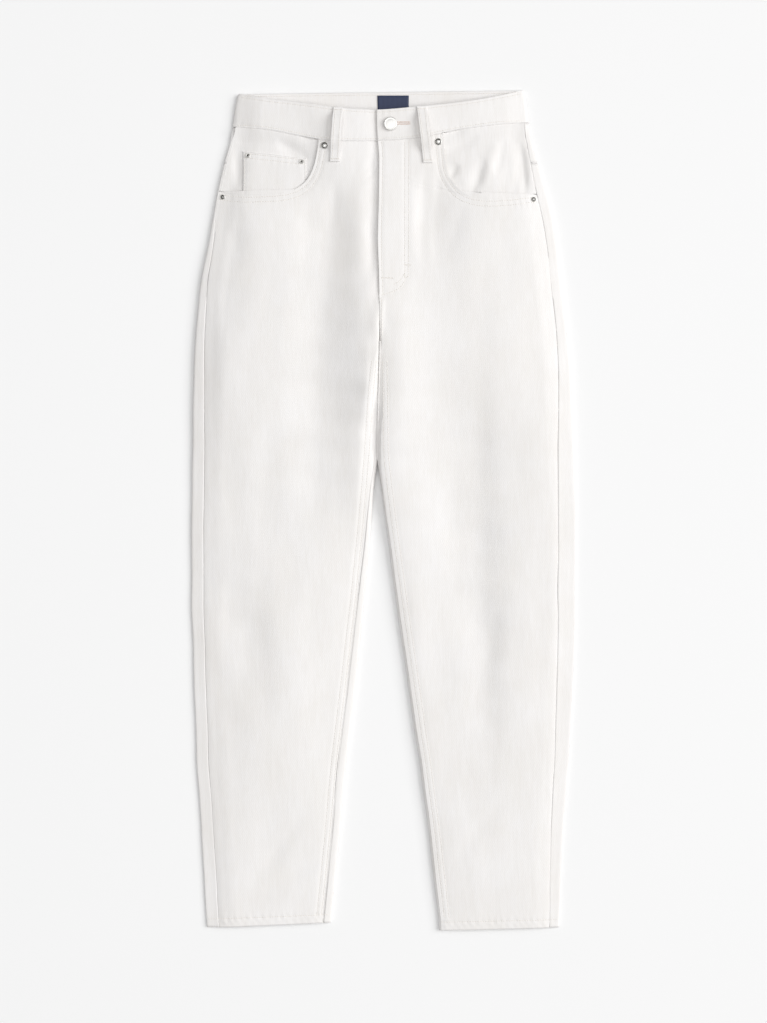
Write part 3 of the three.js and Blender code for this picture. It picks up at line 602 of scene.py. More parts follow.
def thread_finish(name, deep, pale):
    """Spun cotton-wrapped thread: matt, with a twist that catches the light"""
    material, tree, place = new_material(name)
    # the twist's turns are 0.6 mm apart; 1.2 mm is the finest that shows
    spread = add(tree, "Mapping", {"Vector": place}, {"Scale": per_mm(1.2, 1.2, 1.2)}).outputs["Vector"]
    twist = add(tree, "TexNoise", {"Vector": spread}, {"Scale": 1.0, "Detail": 2.0}).outputs["Fac"]
    mix = add(tree, "Mix", {"Factor": twist}, {MIX_A: deep, MIX_B: pale}, data_type="RGBA")
    bump = add(tree, "Bump", {"Height": twist}, {"Strength": 0.3, "Distance": 0.0002})
    close_material(tree, {
        "Base Color": mix.outputs[MIXED],
        "Normal": bump.outputs["Normal"],
        "Roughness": 0.75,
        "Specular IOR Level": 0.3,
        "Sheen Weight": 0.1,
    })
    return material


def metal_finish(name, deep, pale, roughness):
    """Plated and tumbled metal: soft reflections, faintly mottled by handling"""
    material, tree, place = new_material(name)
    # the tumbling leaves marks of about 0.5 mm; 1.4 mm is the finest that shows
    spread = add(tree, "Mapping", {"Vector": place}, {"Scale": per_mm(1.4, 1.4, 1.4)}).outputs["Vector"]
    marks = add(tree, "TexNoise", {"Vector": spread}, {"Scale": 1.0, "Detail": 3.0}).outputs["Fac"]
    mix = add(tree, "Mix", {"Factor": marks}, {MIX_A: deep, MIX_B: pale}, data_type="RGBA")
    shine = add(tree, "MapRange", {"Value": marks}, {"To Min": roughness - 0.06, "To Max": roughness + 0.08})
    bump = add(tree, "Bump", {"Height": marks}, {"Strength": 0.12, "Distance": 0.0002})
    close_material(tree, {
        "Base Color": mix.outputs[MIXED],
        "Metallic": 1.0,
        "Roughness": shine.outputs["Result"],
        "Normal": bump.outputs["Normal"],
    })
    return material


def ribbon_finish(name, deep, pale):
    """Woven polyester ribbon: fine cross ribs and a low sheen"""
    material, tree, place = new_material(name)
    # the ribs are 0.5 mm apart; 1.6 mm is the finest that shows
    spread = add(tree, "Mapping", {"Vector": place}, {"Scale": per_mm(1.6, 1.6, 1.6)}).outputs["Vector"]
    ribs = add(
        tree, "TexWave", {"Vector": spread}, {"Scale": 0.32, "Distortion": 0.6},
        wave_type="BANDS", bands_direction="X",
    ).outputs["Fac"]
    mix = add(tree, "Mix", {"Factor": ribs}, {MIX_A: deep, MIX_B: pale}, data_type="RGBA")
    bump = add(tree, "Bump", {"Height": ribs}, {"Strength": 0.3, "Distance": 0.0002})
    close_material(tree, {
        "Base Color": mix.outputs[MIXED],
        "Normal": bump.outputs["Normal"],
        "Roughness": 0.6,
        "Sheen Weight": 0.3,
        "Sheen Roughness": 0.4,
    })
    return material


def backdrop_finish(name, tone):
    """Matt studio paper, very slightly uneven"""
    material, tree, place = new_material(name)
    grain = add(tree, "TexNoise", {"Vector": place}, {"Scale": 3.0, "Detail": 2.0})
    deep = tuple(c * 0.992 for c in tone[:3]) + (1.0,)
    mix = add(tree, "Mix", {"Factor": grain.outputs["Fac"]}, {MIX_A: deep, MIX_B: tone}, data_type="RGBA")
    close_material(tree, {"Base Color": mix.outputs[MIXED], "Roughness": 0.95, "Specular IOR Level": 0.1})
    return material


FINISHES = {}


def finish_of(kind):
    """The finish of this kind, made when it is first asked for"""
    if kind not in FINISHES:
        tones = bpy.context.scene.jeans_colours
        pale, hole = tones.denim_pale, tones.buttonhole_thread
        maker, *details = {
            "denim": (cotton_cloth, "washed_off_white_cotton_denim", tones.denim_deep, pale),
            "facing": (cotton_cloth, "pressed_off_white_cotton_denim", tones.facing_deep, pale),
            "zip_tape": (cotton_cloth, "woven_cotton_zip_tape", colour("#DDD8CF"), colour("#E6E1D9"), 0.6),
            "thread": (thread_finish, "spun_ecru_sewing_thread", tones.thread, colour("#F1EDE8")),
            "buttonhole": (thread_finish, "spun_rose_beige_sewing_thread", hole, colour("#E6D5CB")),
            "nickel": (metal_finish, "tumbled_nickel_plated_brass", colour("#DAD9D6"), tones.nickel, 0.46),
            # painted shade for the rivets' seats: a dark nickel colour where the recess lies in shade
            "painted_shade_nickel": (
                metal_finish, "shaded_nickel_plated_brass", colour("#55534F"), colour("#6E6C68"), 0.5,
            ),
            "ribbon": (ribbon_finish, "woven_navy_polyester_ribbon", tones.ribbon, colour("#2C3858")),
            "backdrop": (backdrop_finish, "matt_white_studio_paper", tones.backdrop),
        }[kind]
        FINISHES[kind] = maker(*details)
    return FINISHES[kind]


# Making pieces

SHARP = math.radians(50)  # a fold as tight as this stays an edge
CLOTH = {}  # the pieces of cloth by name
TREES = {}  # their faces, sorted for casting

# The pieces of cloth that each operator makes: the CAD node that each stands for, its levels of
# subdivision, its finish, its flat width, length and area in m, and what it lies on
PIECE = ("name", "node", "levels", "kind", "width", "length", "area", "rests_on")
FLOOR = ["studio_floor"]
CLOTH_PIECES = {
    "leg_panels": [
        ("{side}_front_panel", "front_{side}", 3, "denim", 0.25, 0.98, 0.182, ["{side}_back_panel"]),
        ("{side}_back_panel", "back_{side}", 2, "denim", 0.30, 0.96, 0.214, FLOOR),
        ("{side}_back_yoke", "yoke_{side}", 2, "denim", 0.21, 0.10, 0.014, FLOOR),
    ],
    "pockets": [
        (
            "{side}_pocket_facing", "pocket_facing_{side}", 3, "facing", 0.14, 0.10, 0.0105,
            ["{side}_back_panel", "{side}_back_yoke"],
        ),
        ("{side}_back_patch_pocket", "back_pocket_{side}", 5, "denim", 0.128, 0.154, 0.0179, FLOOR),
        ("right_coin_pocket", "coin_pocket", 3, "denim", 0.08, 0.062, 0.0044, ["right_pocket_facing"]),
    ],
    "waistband": [
        ("denim_waistband", "waistband", 3, "denim", 0.76, 0.041, 0.0311, FLOOR),
        ("woven_waist_tab", "waist_tab", 4, "ribbon", 0.0388, 0.0294, 0.00114, ["denim_waistband"]),
    ],
    "belt_loops": [
        (
            "{side}_front_belt_loop", "belt_loop_front_{side}", 3, "denim", 0.0118, 0.07, 0.00082,
            ["denim_waistband", "{side}_front_panel"],
        ),
        ("{side}_side_belt_loop", "belt_loop_side_{side}", 4, "denim", 0.0118, 0.065, 0.00076, FLOOR),
        ("centre_back_belt_loop", "belt_loop_back", 4, "denim", 0.0118, 0.065, 0.00076, FLOOR),
    ],
    "zip_tape": [
        ("fly_zip_tape", "zip", 3, "zip_tape", 0.018, 0.157, 0.0027, ["right_front_panel"]),
    ],
}


def take_in(name, mesh, kind):
    """Adds a mesh to the garment as a piece with this kind of finish"""
    mesh.materials.clear()
    mesh.materials.append(finish_of(kind))
    piece = bpy.data.objects.new(name, mesh)
    bpy.context.scene.collection.objects.link(piece)
    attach(piece, "root")
    return piece


def sewn_or_turned(name, bm, kind, angle=80):
    """Makes a piece of a bmesh, smooth but for folds tighter than an angle in degrees"""
    mesh = bpy.data.meshes.new(name)
    bm.to_mesh(mesh)
    bm.free()
    mesh.shade_smooth()
    mesh.set_sharp_from_angle(angle=math.radians(angle))
    return take_in(name, mesh, kind)


def subdivided(name, bm, levels):
    """The bmesh's smooth subdivision, as a new mesh"""
    mesh = bpy.data.meshes.new(name)
    bm.to_mesh(mesh)
    bm.free()
    holder = bpy.data.objects.new(name + "_coarse", mesh)
    bpy.context.scene.collection.objects.link(holder)
    modifier = holder.modifiers.new("Subdivision", "SUBSURF")
    modifier.levels = modifier.render_levels = levels
    depsgraph = bpy.context.evaluated_depsgraph_get()
    smooth = bpy.data.meshes.new_from_object(holder.evaluated_get(depsgraph))
    smooth.name = name
    bpy.data.objects.remove(holder)
    bpy.data.meshes.remove(mesh)
    return smooth


def rise_to_waistband(mesh):
    """Lifts a pocket facing towards the seam that joins it to the thicker waistband"""
    for vert in mesh.vertices:
        x, y = vert.co.x / MM, vert.co.y / MM
        clear = smoothstep(abs(x), 88, 106)
        vert.co.z += 2.3 * MM * clear * smoothstep(y, waist_y("seam", x) - 19, waist_y("seam", x))
    mesh.update()


def cloth_piece(row, side, depth):
    """A CAD node's wall of cloth, refined and crumpled"""
    name, node = row["name"].format(side=side), row["node"].format(side=side)
    bm = bmesh.new()
    bm.from_mesh(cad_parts[node].data)
    bmesh.ops.remove_doubles(bm, verts=bm.verts, dist=0.002 * MM)
    bmesh.ops.join_triangles(
        bm, faces=bm.faces, angle_face_threshold=math.pi, angle_shape_threshold=math.pi,
        topology_influence=1.5,
    )
    crease = bm.edges.layers.float.new("crease_edge")
    for edge in bm.edges:
        if edge.calc_face_angle(0) > SHARP:
            edge[crease] = 1.0
    mesh = subdivided(name, bm, row["levels"])
    crumple(mesh, depth)
    if row["kind"] == "facing":
        rise_to_waistband(mesh)
    mesh.shade_smooth()
    mesh.set_sharp_from_angle(angle=SHARP)
    piece = take_in(name, mesh, row["kind"])
    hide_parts(node)
    CLOTH[name] = piece


def make_cloth(group, depth):
    """Makes a group's pieces: those of the right side, those of the left, then those of neither"""
    for side in (*SIDES, ""):
        for row in table(PIECE, CLOTH_PIECES[group]):
            if bool(side) == ("{side}" in row["name"]):
                cloth_piece(row, side, depth)
    return {"FINISHED"}


def cast(pieces, x, y, from_above=True):
    """Where a needle straight down, or up, on a place in mm meets the nearest of these pieces"""
    best = None
    start = Vector((x * MM, y * MM, 0.08 if from_above else -0.02))
    way = Vector((0, 0, -1 if from_above else 1))
    for name in pieces:
        if name not in TREES:
            TREES[name] = BVHTree.FromObject(CLOTH[name], bpy.context.evaluated_depsgraph_get())
        point, normal, _, far = TREES[name].ray_cast(start, way)
        if point and (best is None or far < best[2]):
            best = (point, normal, far)
    return best


def frame_at(point, normal, way):
    """A turn and place whose Z is the normal and whose X runs along the way"""
    normal = normal.normalized()
    along = (way - way.dot(normal) * normal).normalized()
    across = normal.cross(along)
    turn = Matrix((along, across, normal)).transposed().to_4x4()
    turn.translation = point
    return turn


STITCH_FILL = 0.84  # share of the pitch that a stitch covers
STITCH_HEIGHT = 0.7  # its height, as a share of its width
STITCH_RISE = 0.15  # how far its middle is above the cloth, in half widths
STITCH_SWAY = 0.06  # how far it strays from its line, in mm
STITCH_TURN = 0.05  # how far it turns, in radians
END_ON = Matrix.Rotation(math.pi / 2, 4, "Y")


def stitches(bm, pieces, line, sizes, chance, from_above=True, pitch=None, width=None):
    """Sews a row: a small long bead for each stitch, laid on the cloth that it meets"""
    pitch = pitch or sizes.stitch_pitch / MM
    long = pitch * STITCH_FILL * MM / 2
    wide = (width or sizes.thread_width / MM) * MM / 2
    size = Matrix.Diagonal((wide * STITCH_HEIGHT, wide, long, 1))
    row = bmesh.new()
    places, ways = spaced(line, pitch)
    missed = 0
    for (x, y), (dx, dy) in zip(places, ways):
        x, y = x + chance.normal(0, STITCH_SWAY), y + chance.normal(0, STITCH_SWAY)
        hit = cast(pieces, x, y, from_above)
        if hit is None:
            missed += 1
            continue
        point, normal, _ = hit
        turn = Matrix.Rotation(chance.normal(0, STITCH_TURN), 4, "Z")
        place = frame_at(point + normal * wide * STITCH_RISE, normal, Vector((dx, dy, 0)))
        shape = place @ turn @ END_ON @ size
        bmesh.ops.create_uvsphere(row, u_segments=6, v_segments=4, radius=1, matrix=shape)
    if missed > 0.3 * len(places):
        raise RuntimeError(f"{missed} of {len(places)} stitches on {pieces} miss the cloth")
    holder = bpy.data.meshes.new("row")
    row.to_mesh(holder)
    row.free()
    bm.from_mesh(holder)
    bpy.data.meshes.remove(holder)


def turned(bm, profile, place, steps):
    """Spins a profile of (radius, height) points in mm about a place's Z, closed at both ends"""
    verts = [bm.verts.new((r * MM, 0, z * MM)) for r, z in profile]
    edges = [bm.edges.new(pair) for pair in zip(verts, verts[1:])]
    before = set(bm.verts) - set(verts)
    bmesh.ops.spin(
        bm, geom=verts + edges, cent=(0, 0, 0), axis=(0, 0, 1), angle=2 * math.pi, steps=steps, use_merge=True
    )
    new = [v for v in bm.verts if v not in before]
    bmesh.ops.remove_doubles(bm, verts=new, dist=0.01 * MM)
    new = [v for v in bm.verts if v not in before]
    faces = list({f for v in new for f in v.link_faces})
    bmesh.ops.recalc_face_normals(bm, faces=faces)
    bmesh.ops.transform(bm, matrix=place, verts=new)


# Settings


def colour_setting(name, description, code):
    return bpy.props.FloatVectorProperty(
        name=name, description=description, default=colour(code), size=4, min=0.0, max=1.0, subtype="COLOR"
    )


def length_setting(name, description, default, low):
    return bpy.props.FloatProperty(
        name=name, description=description, default=default, min=low, unit="LENGTH", precision=5
    )


class JeansColours(bpy.types.PropertyGroup):
    denim_deep: colour_setting("Denim, deeper", "Colour of the denim's deeper yarns", "#E9E6E3")
    denim_pale: colour_setting("Denim, paler", "Colour of the denim's paler yarns", "#EEECEB")
    facing_deep: colour_setting("Facing, deeper", "Colour of the pocket facings' deeper yarns", "#E6E3E0")
    thread: colour_setting("Sewing thread", "Colour of the topstitching", "#E2DDD6")
    buttonhole_thread: colour_setting("Buttonhole thread", "Colour of the buttonhole's stitches", "#D3B9AC")
    nickel: colour_setting("Nickel", "Colour of the button's and rivets' plating", "#F4F3F0")
    ribbon: colour_setting("Ribbon", "Colour of the woven tab", "#1C2540")
    backdrop: colour_setting("Backdrop", "Colour of the floor", "#F3F3F3")


class JeansSizes(bpy.types.PropertyGroup):
    stitch_pitch: length_setting("Stitch pitch", "From one stitch to the next", 3.2 * MM, 0.001)
    thread_width: length_setting("Thread width", "Width of one stitch", 0.85 * MM, 0.0002)
    button_radius: length_setting("Button radius", "Radius of the waist button", 8.5 * MM, 0.005)
    crease_depth: bpy.props.FloatProperty(
        name="Crease depth", description="Share of the full depth of the creases",
        default=1.0, min=0.0, max=1.5, subtype="FACTOR",
    )


class StudioSettings(bpy.types.PropertyGroup):
    camera_height: length_setting("Camera height", "From the floor to the camera", 3.0, 1.5)
    frame_length: length_setting("Frame length", "Length of floor on the picture's long side", 1.2685, 0.5)
    key_angle: bpy.props.FloatProperty(
        name="Key height", description="The key light's angle above the floor",
        default=math.radians(36), subtype="ANGLE",
    )
    key_power: bpy.props.FloatProperty(
        name="Key power", description="Power of the key light", default=3060.0, min=0.0, unit="POWER"
    )
    top_power: bpy.props.FloatProperty(
        name="Overhead power", description="Power of the overhead softbox",
        default=79.0, min=0.0, unit="POWER",
    )
    surround: bpy.props.FloatProperty(
        name="Surround", description="Brightness of the pale room", default=0.345, min=0.0, subtype="FACTOR"
    )


# Operators


class JEANS_OT_leg_panels(bpy.types.Operator):
    """Makes the front and back leg panels and the yokes"""

    bl_idname = "jeans.leg_panels"
    bl_label = "Leg panels and yokes"

    def execute(self, context):
        return make_cloth("leg_panels", context.scene.jeans_sizes.crease_depth)


class JEANS_OT_pockets(bpy.types.Operator):
    """Makes the pocket facings, the coin pocket and the back pockets"""

    bl_idname = "jeans.pockets"
    bl_label = "Pockets"

    def execute(self, context):
        return make_cloth("pockets", context.scene.jeans_sizes.crease_depth)


class JEANS_OT_waistband(bpy.types.Operator):
    """Makes the waistband and the woven tab inside it"""

    bl_idname = "jeans.waistband"
    bl_label = "Waistband and tab"

    def execute(self, context):
        return make_cloth("waistband", context.scene.jeans_sizes.crease_depth)


class JEANS_OT_belt_loops(bpy.types.Operator):
    """Makes the five belt loops"""

    bl_idname = "jeans.belt_loops"
    bl_label = "Belt loops"

    def execute(self, context):
        return make_cloth("belt_loops", context.scene.jeans_sizes.crease_depth)


class JEANS_OT_zip_tape(bpy.types.Operator):
    """Makes the zip's tape under the flap of the fly"""

    bl_idname = "jeans.zip_tape"
    bl_label = "Zip tape"

    def execute(self, context):
        return make_cloth("zip_tape", context.scene.jeans_sizes.crease_depth)


BUTTON_PLACE = (8.6, 476.3)
# The button's face: shares of its radius, and heights from its top in mm
BUTTON_FACE = [
    (0, 0), (0.3, -0.02), (0.62, -0.12), (0.72, -0.3), (0.78, -0.22), (0.86, -0.05), (0.94, -0.3),
    (0.99, -0.9), (1, -1.5), (0.95, -1.9), (0.5, -2.0),
]
# Its shank, in the same shares, and heights from the cloth
BUTTON_SHANK = [(0.4, 0.0), (0.4, -0.6), (0, -0.6)]
BUTTON_RISE = 3.4  # the most that its top stands off the cloth

# Each rivet's dark column is the share of its radius out to which shade is painted on it
RIVETS = table(
    ("name", "node", "x", "y", "radius", "dark", "pieces"),
    [
        ("rivet_at_right_pocket", "rivet_pocket_right", -72.8, 450.0, 4.6, 0.84, ["right_front_panel"]),
        ("rivet_at_left_pocket", "rivet_pocket_left", 67.5, 454.6, 4.6, 0.84, ["left_front_panel"]),
        (
            "rivet_at_right_side", "rivet_side_right", -199.0, 387.6, 3.2, 0.84,
            ["right_front_panel", "right_back_panel"],
        ),
        (
            "rivet_at_left_side", "rivet_side_left", 185.4, 384.3, 3.2, 0.84,
            ["left_front_panel", "left_back_panel"],
        ),
        ("outer_rivet_of_coin_pocket", "rivet_coin_outer", -167.6, 438.6, 3.0, 0.6, ["right_coin_pocket"]),
        ("inner_rivet_of_coin_pocket", "rivet_coin_inner", -101.2, 430.8, 3.0, 0.6, ["right_coin_pocket"]),
    ],
)
# A rivet's burr is a rounded ring round a sunken seat, with the nail's blunt head in the middle, both in
# shares of its radius and heights in mm. Shade is painted on it between two shares of the radius: a dark
# finish on the seat and, on the larger rivets, on the ring's inner side.
BURR = [
    (0, 0.5), (0.5, 0.4), (0.56, 0.25), (0.66, 0.95), (0.8, 1.15), (0.93, 0.85), (1, 0.3), (0.98, -0.4),
    (0, -0.4),
]
NAIL = [(0, 1.25), (0.2, 1.22), (0.34, 1.0), (0.4, 0.4), (0, 0.3)]
DARK_FROM = 0.42


class JEANS_OT_metal_trim(bpy.types.Operator):
    """Makes the waist button and the rivets"""

    bl_idname = "jeans.metal_trim"
    bl_label = "Button and rivets"

    def execute(self, context):
        radius = context.scene.jeans_sizes.button_radius / MM
        point, normal, _ = cast(["denim_waistband"], *BUTTON_PLACE)
        # the button's face is turned from the cloth's slope towards straight up
        seat = frame_at(point, (normal + Vector((0, 0, 2))).normalized(), Vector((1, 0, 0)))
        rise = min(BUTTON_RISE, (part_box("button")[1].z - point.z) / MM)
        profile = [(radius * share, rise + height) for share, height in BUTTON_FACE]
        profile += [(radius * share, height) for share, height in BUTTON_SHANK]
        bm = bmesh.new()
        turned(bm, profile, seat, 48)
        button = sewn_or_turned("waist_tack_button", bm, "nickel", 40)
        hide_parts("button")
        for rivet in RIVETS:
            point, normal, _ = cast(rivet["pieces"], rivet["x"], rivet["y"])
            seat = frame_at(point, normal, Vector((1, 0, 0)))
            r = rivet["radius"]
            bm = bmesh.new()
            turned(bm, [(r * share, height) for share, height in BURR], seat, 28)
            turned(bm, [(r * share, height) for share, height in NAIL], seat, 20)
            piece = sewn_or_turned(rivet["name"], bm, "nickel", 40)
            # painted shade: the faces between two shares of the radius take the dark finish
            piece.data.materials.append(finish_of("painted_shade_nickel"))
            for face in piece.data.polygons:
                if r * DARK_FROM < (face.center - point).length / MM < r * rivet["dark"]:
                    face.material_index = 1
            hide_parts(rivet["node"])
        return {"FINISHED"}


# The piece that each group of rows makes, and the cloth that its stitches meet
ROW_PIECES = {
    "waistband": ("waistband_topstitching", ["denim_waistband"]),
    "fly": ("fly_topstitching", ["left_front_panel"]),
    "pockets": ("pocket_topstitching", ["right_front_panel", "left_front_panel"]),
    "coin": ("coin_pocket_topstitching", ["right_coin_pocket"]),
    "right_leg": ("right_leg_topstitching", ["right_front_panel", "right_back_panel"]),
    "left_leg": ("left_leg_topstitching", ["left_front_panel", "left_back_panel"]),
    "loop_right": ("right_belt_loop_topstitching", ["right_front_belt_loop"]),
    "loop_left": ("left_belt_loop_topstitching", ["left_front_belt_loop"]),
}
BACKS = ["right_back_panel", "left_back_panel", "right_back_yoke", "left_back_yoke", "denim_waistband"]
UNDER_PIECES = {
    "back": ("back_topstitching", BACKS),
    "back_pockets": ("back_pocket_topstitching", ["right_back_patch_pocket", "left_back_patch_pocket"]),
}


class JEANS_OT_topstitching(bpy.types.Operator):
    """Sews the rows of topstitching and the bartacks"""

    bl_idname = "jeans.topstitching"
    bl_label = "Topstitching"

    def execute(self, context):
        sizes = context.scene.jeans_sizes
        chance = np.random.default_rng(17)
        sewn = {group: bmesh.new() for group in (*ROW_PIECES, *UNDER_PIECES)}
        for group, line, _ in front_rows():
            stitches(sewn[group], ROW_PIECES[group][1], line, sizes, chance)
        for group, line in TACKS:
            for aside in (-0.45, 0.45):
                tack = beside(line, aside)
                stitches(sewn[group], ROW_PIECES[group][1], tack, sizes, chance, pitch=1.5, width=0.8)
        for group, line in back_rows():
            stitches(sewn[group], UNDER_PIECES[group][1], line, sizes, chance, from_above=False)
        for group, (name, _) in {**ROW_PIECES, **UNDER_PIECES}.items():
            sewn_or_turned(name, sewn[group], "thread")
        return {"FINISHED"}


WELT_STEP = 4.0
WELT_FEEL = 1.3  # how far to each side of its seam a welt looks for the cloth


def welt(bm, line, pieces, radius, rise=-0.6, from_above=True):
    """Fills a seam's narrow gap with the rounded edge of its allowance, a soft tube in the seam. Its
    middle lies above the lower of the seam's two sides by its rise, in radii."""
    points = []
    for (x, y), (dx, dy) in zip(*spaced(line, WELT_STEP)):
        hits = [cast(pieces, x - dy * far, y + dx * far, from_above) for far in (-WELT_FEEL, WELT_FEEL)]
        heights = [hit[0].z for hit in hits if hit]
        if heights:
            low = min(heights) + rise * radius * MM if from_above else max(heights) - rise * radius * MM
            points.append((x * MM, y * MM, low))
    path = bpy.data.curves.new("welt", "CURVE")
    path.dimensions = "3D"
    path.bevel_depth = radius * MM
    path.bevel_resolution = 1
    path.use_fill_caps = True
    spline = path.splines.new("POLY")
    spline.points.add(len(points) - 1)
    for place, point in zip(spline.points, points):
        place.co = (*point, 1)
    holder = bpy.data.objects.new("welt", path)
    bpy.context.scene.collection.objects.link(holder)
    tube = bpy.data.meshes.new_from_object(holder.evaluated_get(bpy.context.evaluated_depsgraph_get()))
    bm.from_mesh(tube)
    bpy.data.objects.remove(holder)
    bpy.data.meshes.remove(tube)
    bpy.data.curves.remove(path)


class JEANS_OT_seam_edges(bpy.types.Operator):
    """Makes the rounded cloth edges that show in the seams"""

    bl_idname = "jeans.seam_edges"
    bl_label = "Seam edges"

    def execute(self, context):
        bm = bmesh.new()
        for side in SIDES:
            parts = ("front_panel", "back_panel", "pocket_facing", "back_yoke")
            panels = [f"{side}_{part}" for part in parts]
            welt(bm, seam_line(f"{side}_side", -515, 468, 0, 8), panels, 0.6)
            welt(bm, seam_line(f"{side}_inseam", -511, 192, 0, 8), panels, 0.6)
        fronts = [f"{side}_{part}" for part in ("front_panel", "pocket_facing") for side in SIDES]
        fronts.append("denim_waistband")
        welt(bm, waist_line("seam", -183, -84, 0.2, 4), fronts, 0.7, 0.2)
        welt(bm, waist_line("seam", -84, 76, 0.1, 4), fronts, 0.6, -0.2)
        welt(bm, waist_line("seam", 76, 175, 0.2, 4), fronts, 0.7, 0.2)
        welt(bm, seam_line("left_inner", 262, 206, 0, 6), fronts, 0.6)
        # where the thighs touch, the crotch's seam shows between them
        legs = [f"{side}_{part}" for part in ("front_panel", "back_panel") for side in SIDES]
        between = []
        for y in range(210, 56, -6):
            between.append((0.5 * (edge_x("right_inner", y) + edge_x("left_inner", y)), y))
        welt(bm, between, legs, 0.9, 0.6)
        for side, way in (("right", -1), ("left", 1)):
            yoke = [f"{side}_back_panel", f"{side}_back_yoke"]
            ends = [(edge_x(f"{side}_side", 430) + way, 430), (edge_x(f"{side}_outer", 430) - way, 430.4)]
            welt(bm, ends, yoke, 0.5)
        sewn_or_turned("front_seam_edges", bm, "denim")
        bm = bmesh.new()
        for line in (
            [(-5, 384), (-196, 430)], [(-7, 384), (186, 430)],
            seam_line("right_inner", 204, 470, 0, 6), [(-180, 474.4), (174, 479.6)],
        ):
            welt(bm, line, BACKS, 0.5, from_above=False)
        sewn_or_turned("back_seam_edges", bm, "denim")
        return {"FINISHED"}


class JEANS_OT_buttonhole(bpy.types.Operator):
    """Sews the buttonhole, which runs out from under the button"""

    bl_idname = "jeans.buttonhole"
    bl_label = "Buttonhole"

    def execute(self, context):
        sizes = context.scene.jeans_sizes
        chance = np.random.default_rng(4)
        band = ["denim_waistband"]
        bm = bmesh.new()
        for aside in (-1.2, 1.2):
            places, _ = spaced([(12, 477.2 + aside), (32, 477.4 + aside)], 0.8)
            for x, y in places:
                stitches(bm, band, [(x, y - 0.9), (x, y + 0.9)], sizes, chance, pitch=1.8, width=0.9)
        stitches(bm, band, [(32.6, 475.4), (32.6, 479.4)], sizes, chance, pitch=1.3, width=0.9)
        sewn_or_turned("buttonhole_stitching", bm, "buttonhole")
        return {"FINISHED"}


# The studio, in m. The camera looks a little below the garment's middle.
FLOOR_HALF = 15
FLOOR_DROP = 0.3 * MM
KEY_DISTANCE = 20.0
KEY_TURN = math.radians(8)  # from +X towards +Y
KEY_WIDTH = 14.0
OVERHEAD_HEIGHT = 4.5
OVERHEAD_WIDTH = 4.0
SENSOR_MM = 36
CAMERA_Y = -1.5 * MM


def light(name, place, size, power):
    """A square softbox that faces the garment's middle"""
    data = bpy.data.lights.new(name, "AREA")
    data.shape = "SQUARE"
    data.size = size
    data.energy = power
    lamp = bpy.data.objects.new(name, data)
    lamp.location = place
    lamp.rotation_euler = (Vector() - Vector(place)).to_track_quat("-Z", "Y").to_euler()
    bpy.context.scene.collection.objects.link(lamp)


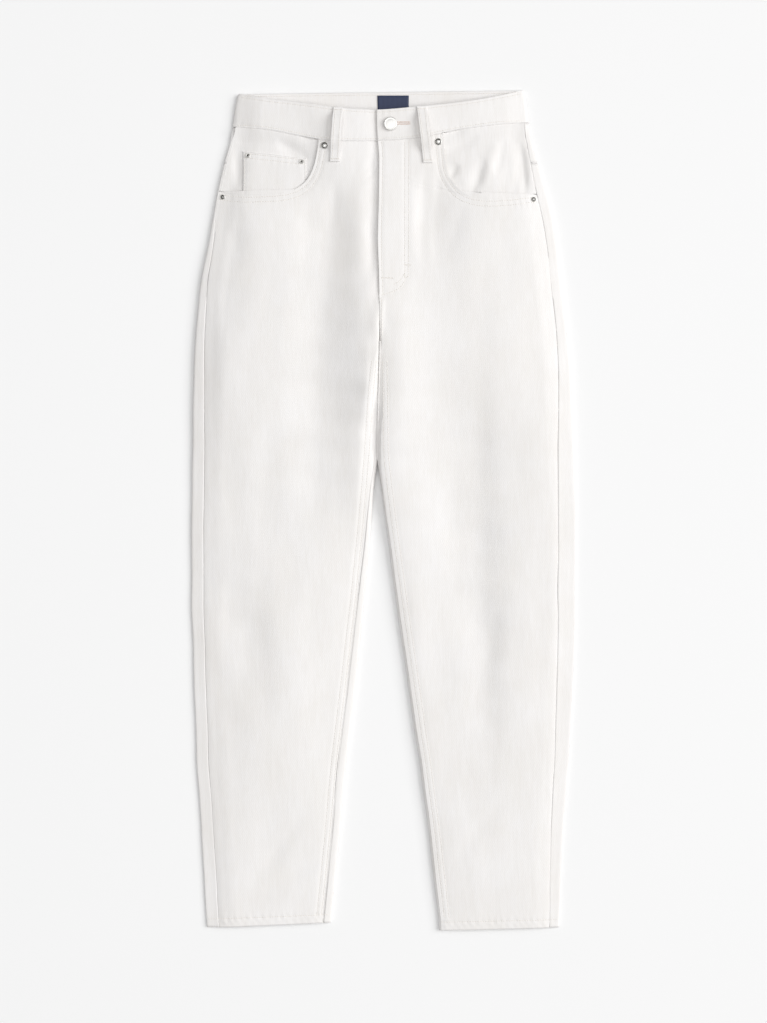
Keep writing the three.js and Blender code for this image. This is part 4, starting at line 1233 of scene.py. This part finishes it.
class JEANS_OT_studio(bpy.types.Operator):
    """Sets up the pale floor, the soft studio light and the camera straight above"""

    bl_idname = "jeans.studio"
    bl_label = "Studio"

    def execute(self, context):
        scene = context.scene
        studio = scene.jeans_studio
        bm = bmesh.new()
        down = Matrix.Translation((0, 0, -FLOOR_DROP))
        bmesh.ops.create_grid(bm, x_segments=1, y_segments=1, size=FLOOR_HALF, matrix=down)
        mesh = bpy.data.meshes.new("studio_floor")
        bm.to_mesh(mesh)
        bm.free()
        mesh.materials.append(finish_of("backdrop"))
        floor = bpy.data.objects.new("studio_floor", mesh)
        scene.collection.objects.link(floor)
        aside = KEY_DISTANCE * math.cos(studio.key_angle)
        up = KEY_DISTANCE * math.sin(studio.key_angle)
        key = (aside * math.cos(KEY_TURN), aside * math.sin(KEY_TURN), up)
        light("key_softbox", key, KEY_WIDTH, studio.key_power)
        light("overhead_softbox", (0, 0, OVERHEAD_HEIGHT), OVERHEAD_WIDTH, studio.top_power)
        world = bpy.data.worlds.new("pale_room")
        world.use_nodes = True
        background = world.node_tree.nodes["Background"]
        background.inputs["Color"].default_value = (1, 1, 1, 1)
        background.inputs["Strength"].default_value = studio.surround
        scene.world = world
        data = bpy.data.cameras.new("overhead_camera")
        data.sensor_fit = "AUTO"
        data.sensor_width = SENSOR_MM
        data.lens = SENSOR_MM * studio.camera_height / studio.frame_length
        camera = bpy.data.objects.new("overhead_camera", data)
        camera.location = (0, CAMERA_Y, studio.camera_height)
        scene.collection.objects.link(camera)
        scene.camera = camera
        scene.view_settings.view_transform = "Standard"
        return {"FINISHED"}


class JEANS_PT_panel(bpy.types.Panel):
    """Lists the garment's settings and steps"""

    bl_label = "Mom jeans"
    bl_idname = "JEANS_PT_panel"
    bl_space_type = "VIEW_3D"
    bl_region_type = "UI"
    bl_category = "Jeans"

    def draw(self, context):
        scene = context.scene
        for settings in (scene.jeans_sizes, scene.jeans_colours, scene.jeans_studio):
            box = self.layout.box()
            for name in settings.__annotations__:
                box.prop(settings, name)
        for step in STEPS:
            self.layout.operator(step.bl_idname)


STEPS = (
    JEANS_OT_leg_panels,
    JEANS_OT_pockets,
    JEANS_OT_waistband,
    JEANS_OT_belt_loops,
    JEANS_OT_zip_tape,
    JEANS_OT_metal_trim,
    JEANS_OT_seam_edges,
    JEANS_OT_topstitching,
    JEANS_OT_buttonhole,
    JEANS_OT_studio,
)
CLASSES = (JeansColours, JeansSizes, StudioSettings, *STEPS, JEANS_PT_panel)


def register():
    for item in CLASSES:
        bpy.utils.register_class(item)
    bpy.types.Scene.jeans_colours = bpy.props.PointerProperty(type=JeansColours)
    bpy.types.Scene.jeans_sizes = bpy.props.PointerProperty(type=JeansSizes)
    bpy.types.Scene.jeans_studio = bpy.props.PointerProperty(type=StudioSettings)


def unregister():
    del bpy.types.Scene.jeans_studio
    del bpy.types.Scene.jeans_sizes
    del bpy.types.Scene.jeans_colours
    for item in reversed(CLASSES):
        bpy.utils.unregister_class(item)


def main():
    register()
    bpy.ops.jeans.leg_panels()
    bpy.ops.jeans.pockets()
    bpy.ops.jeans.waistband()
    bpy.ops.jeans.belt_loops()
    bpy.ops.jeans.zip_tape()
    bpy.ops.jeans.metal_trim()
    bpy.ops.jeans.seam_edges()
    bpy.ops.jeans.topstitching()
    bpy.ops.jeans.buttonhole()
    bpy.ops.jeans.studio()


if __name__ == "__main__":
    main()
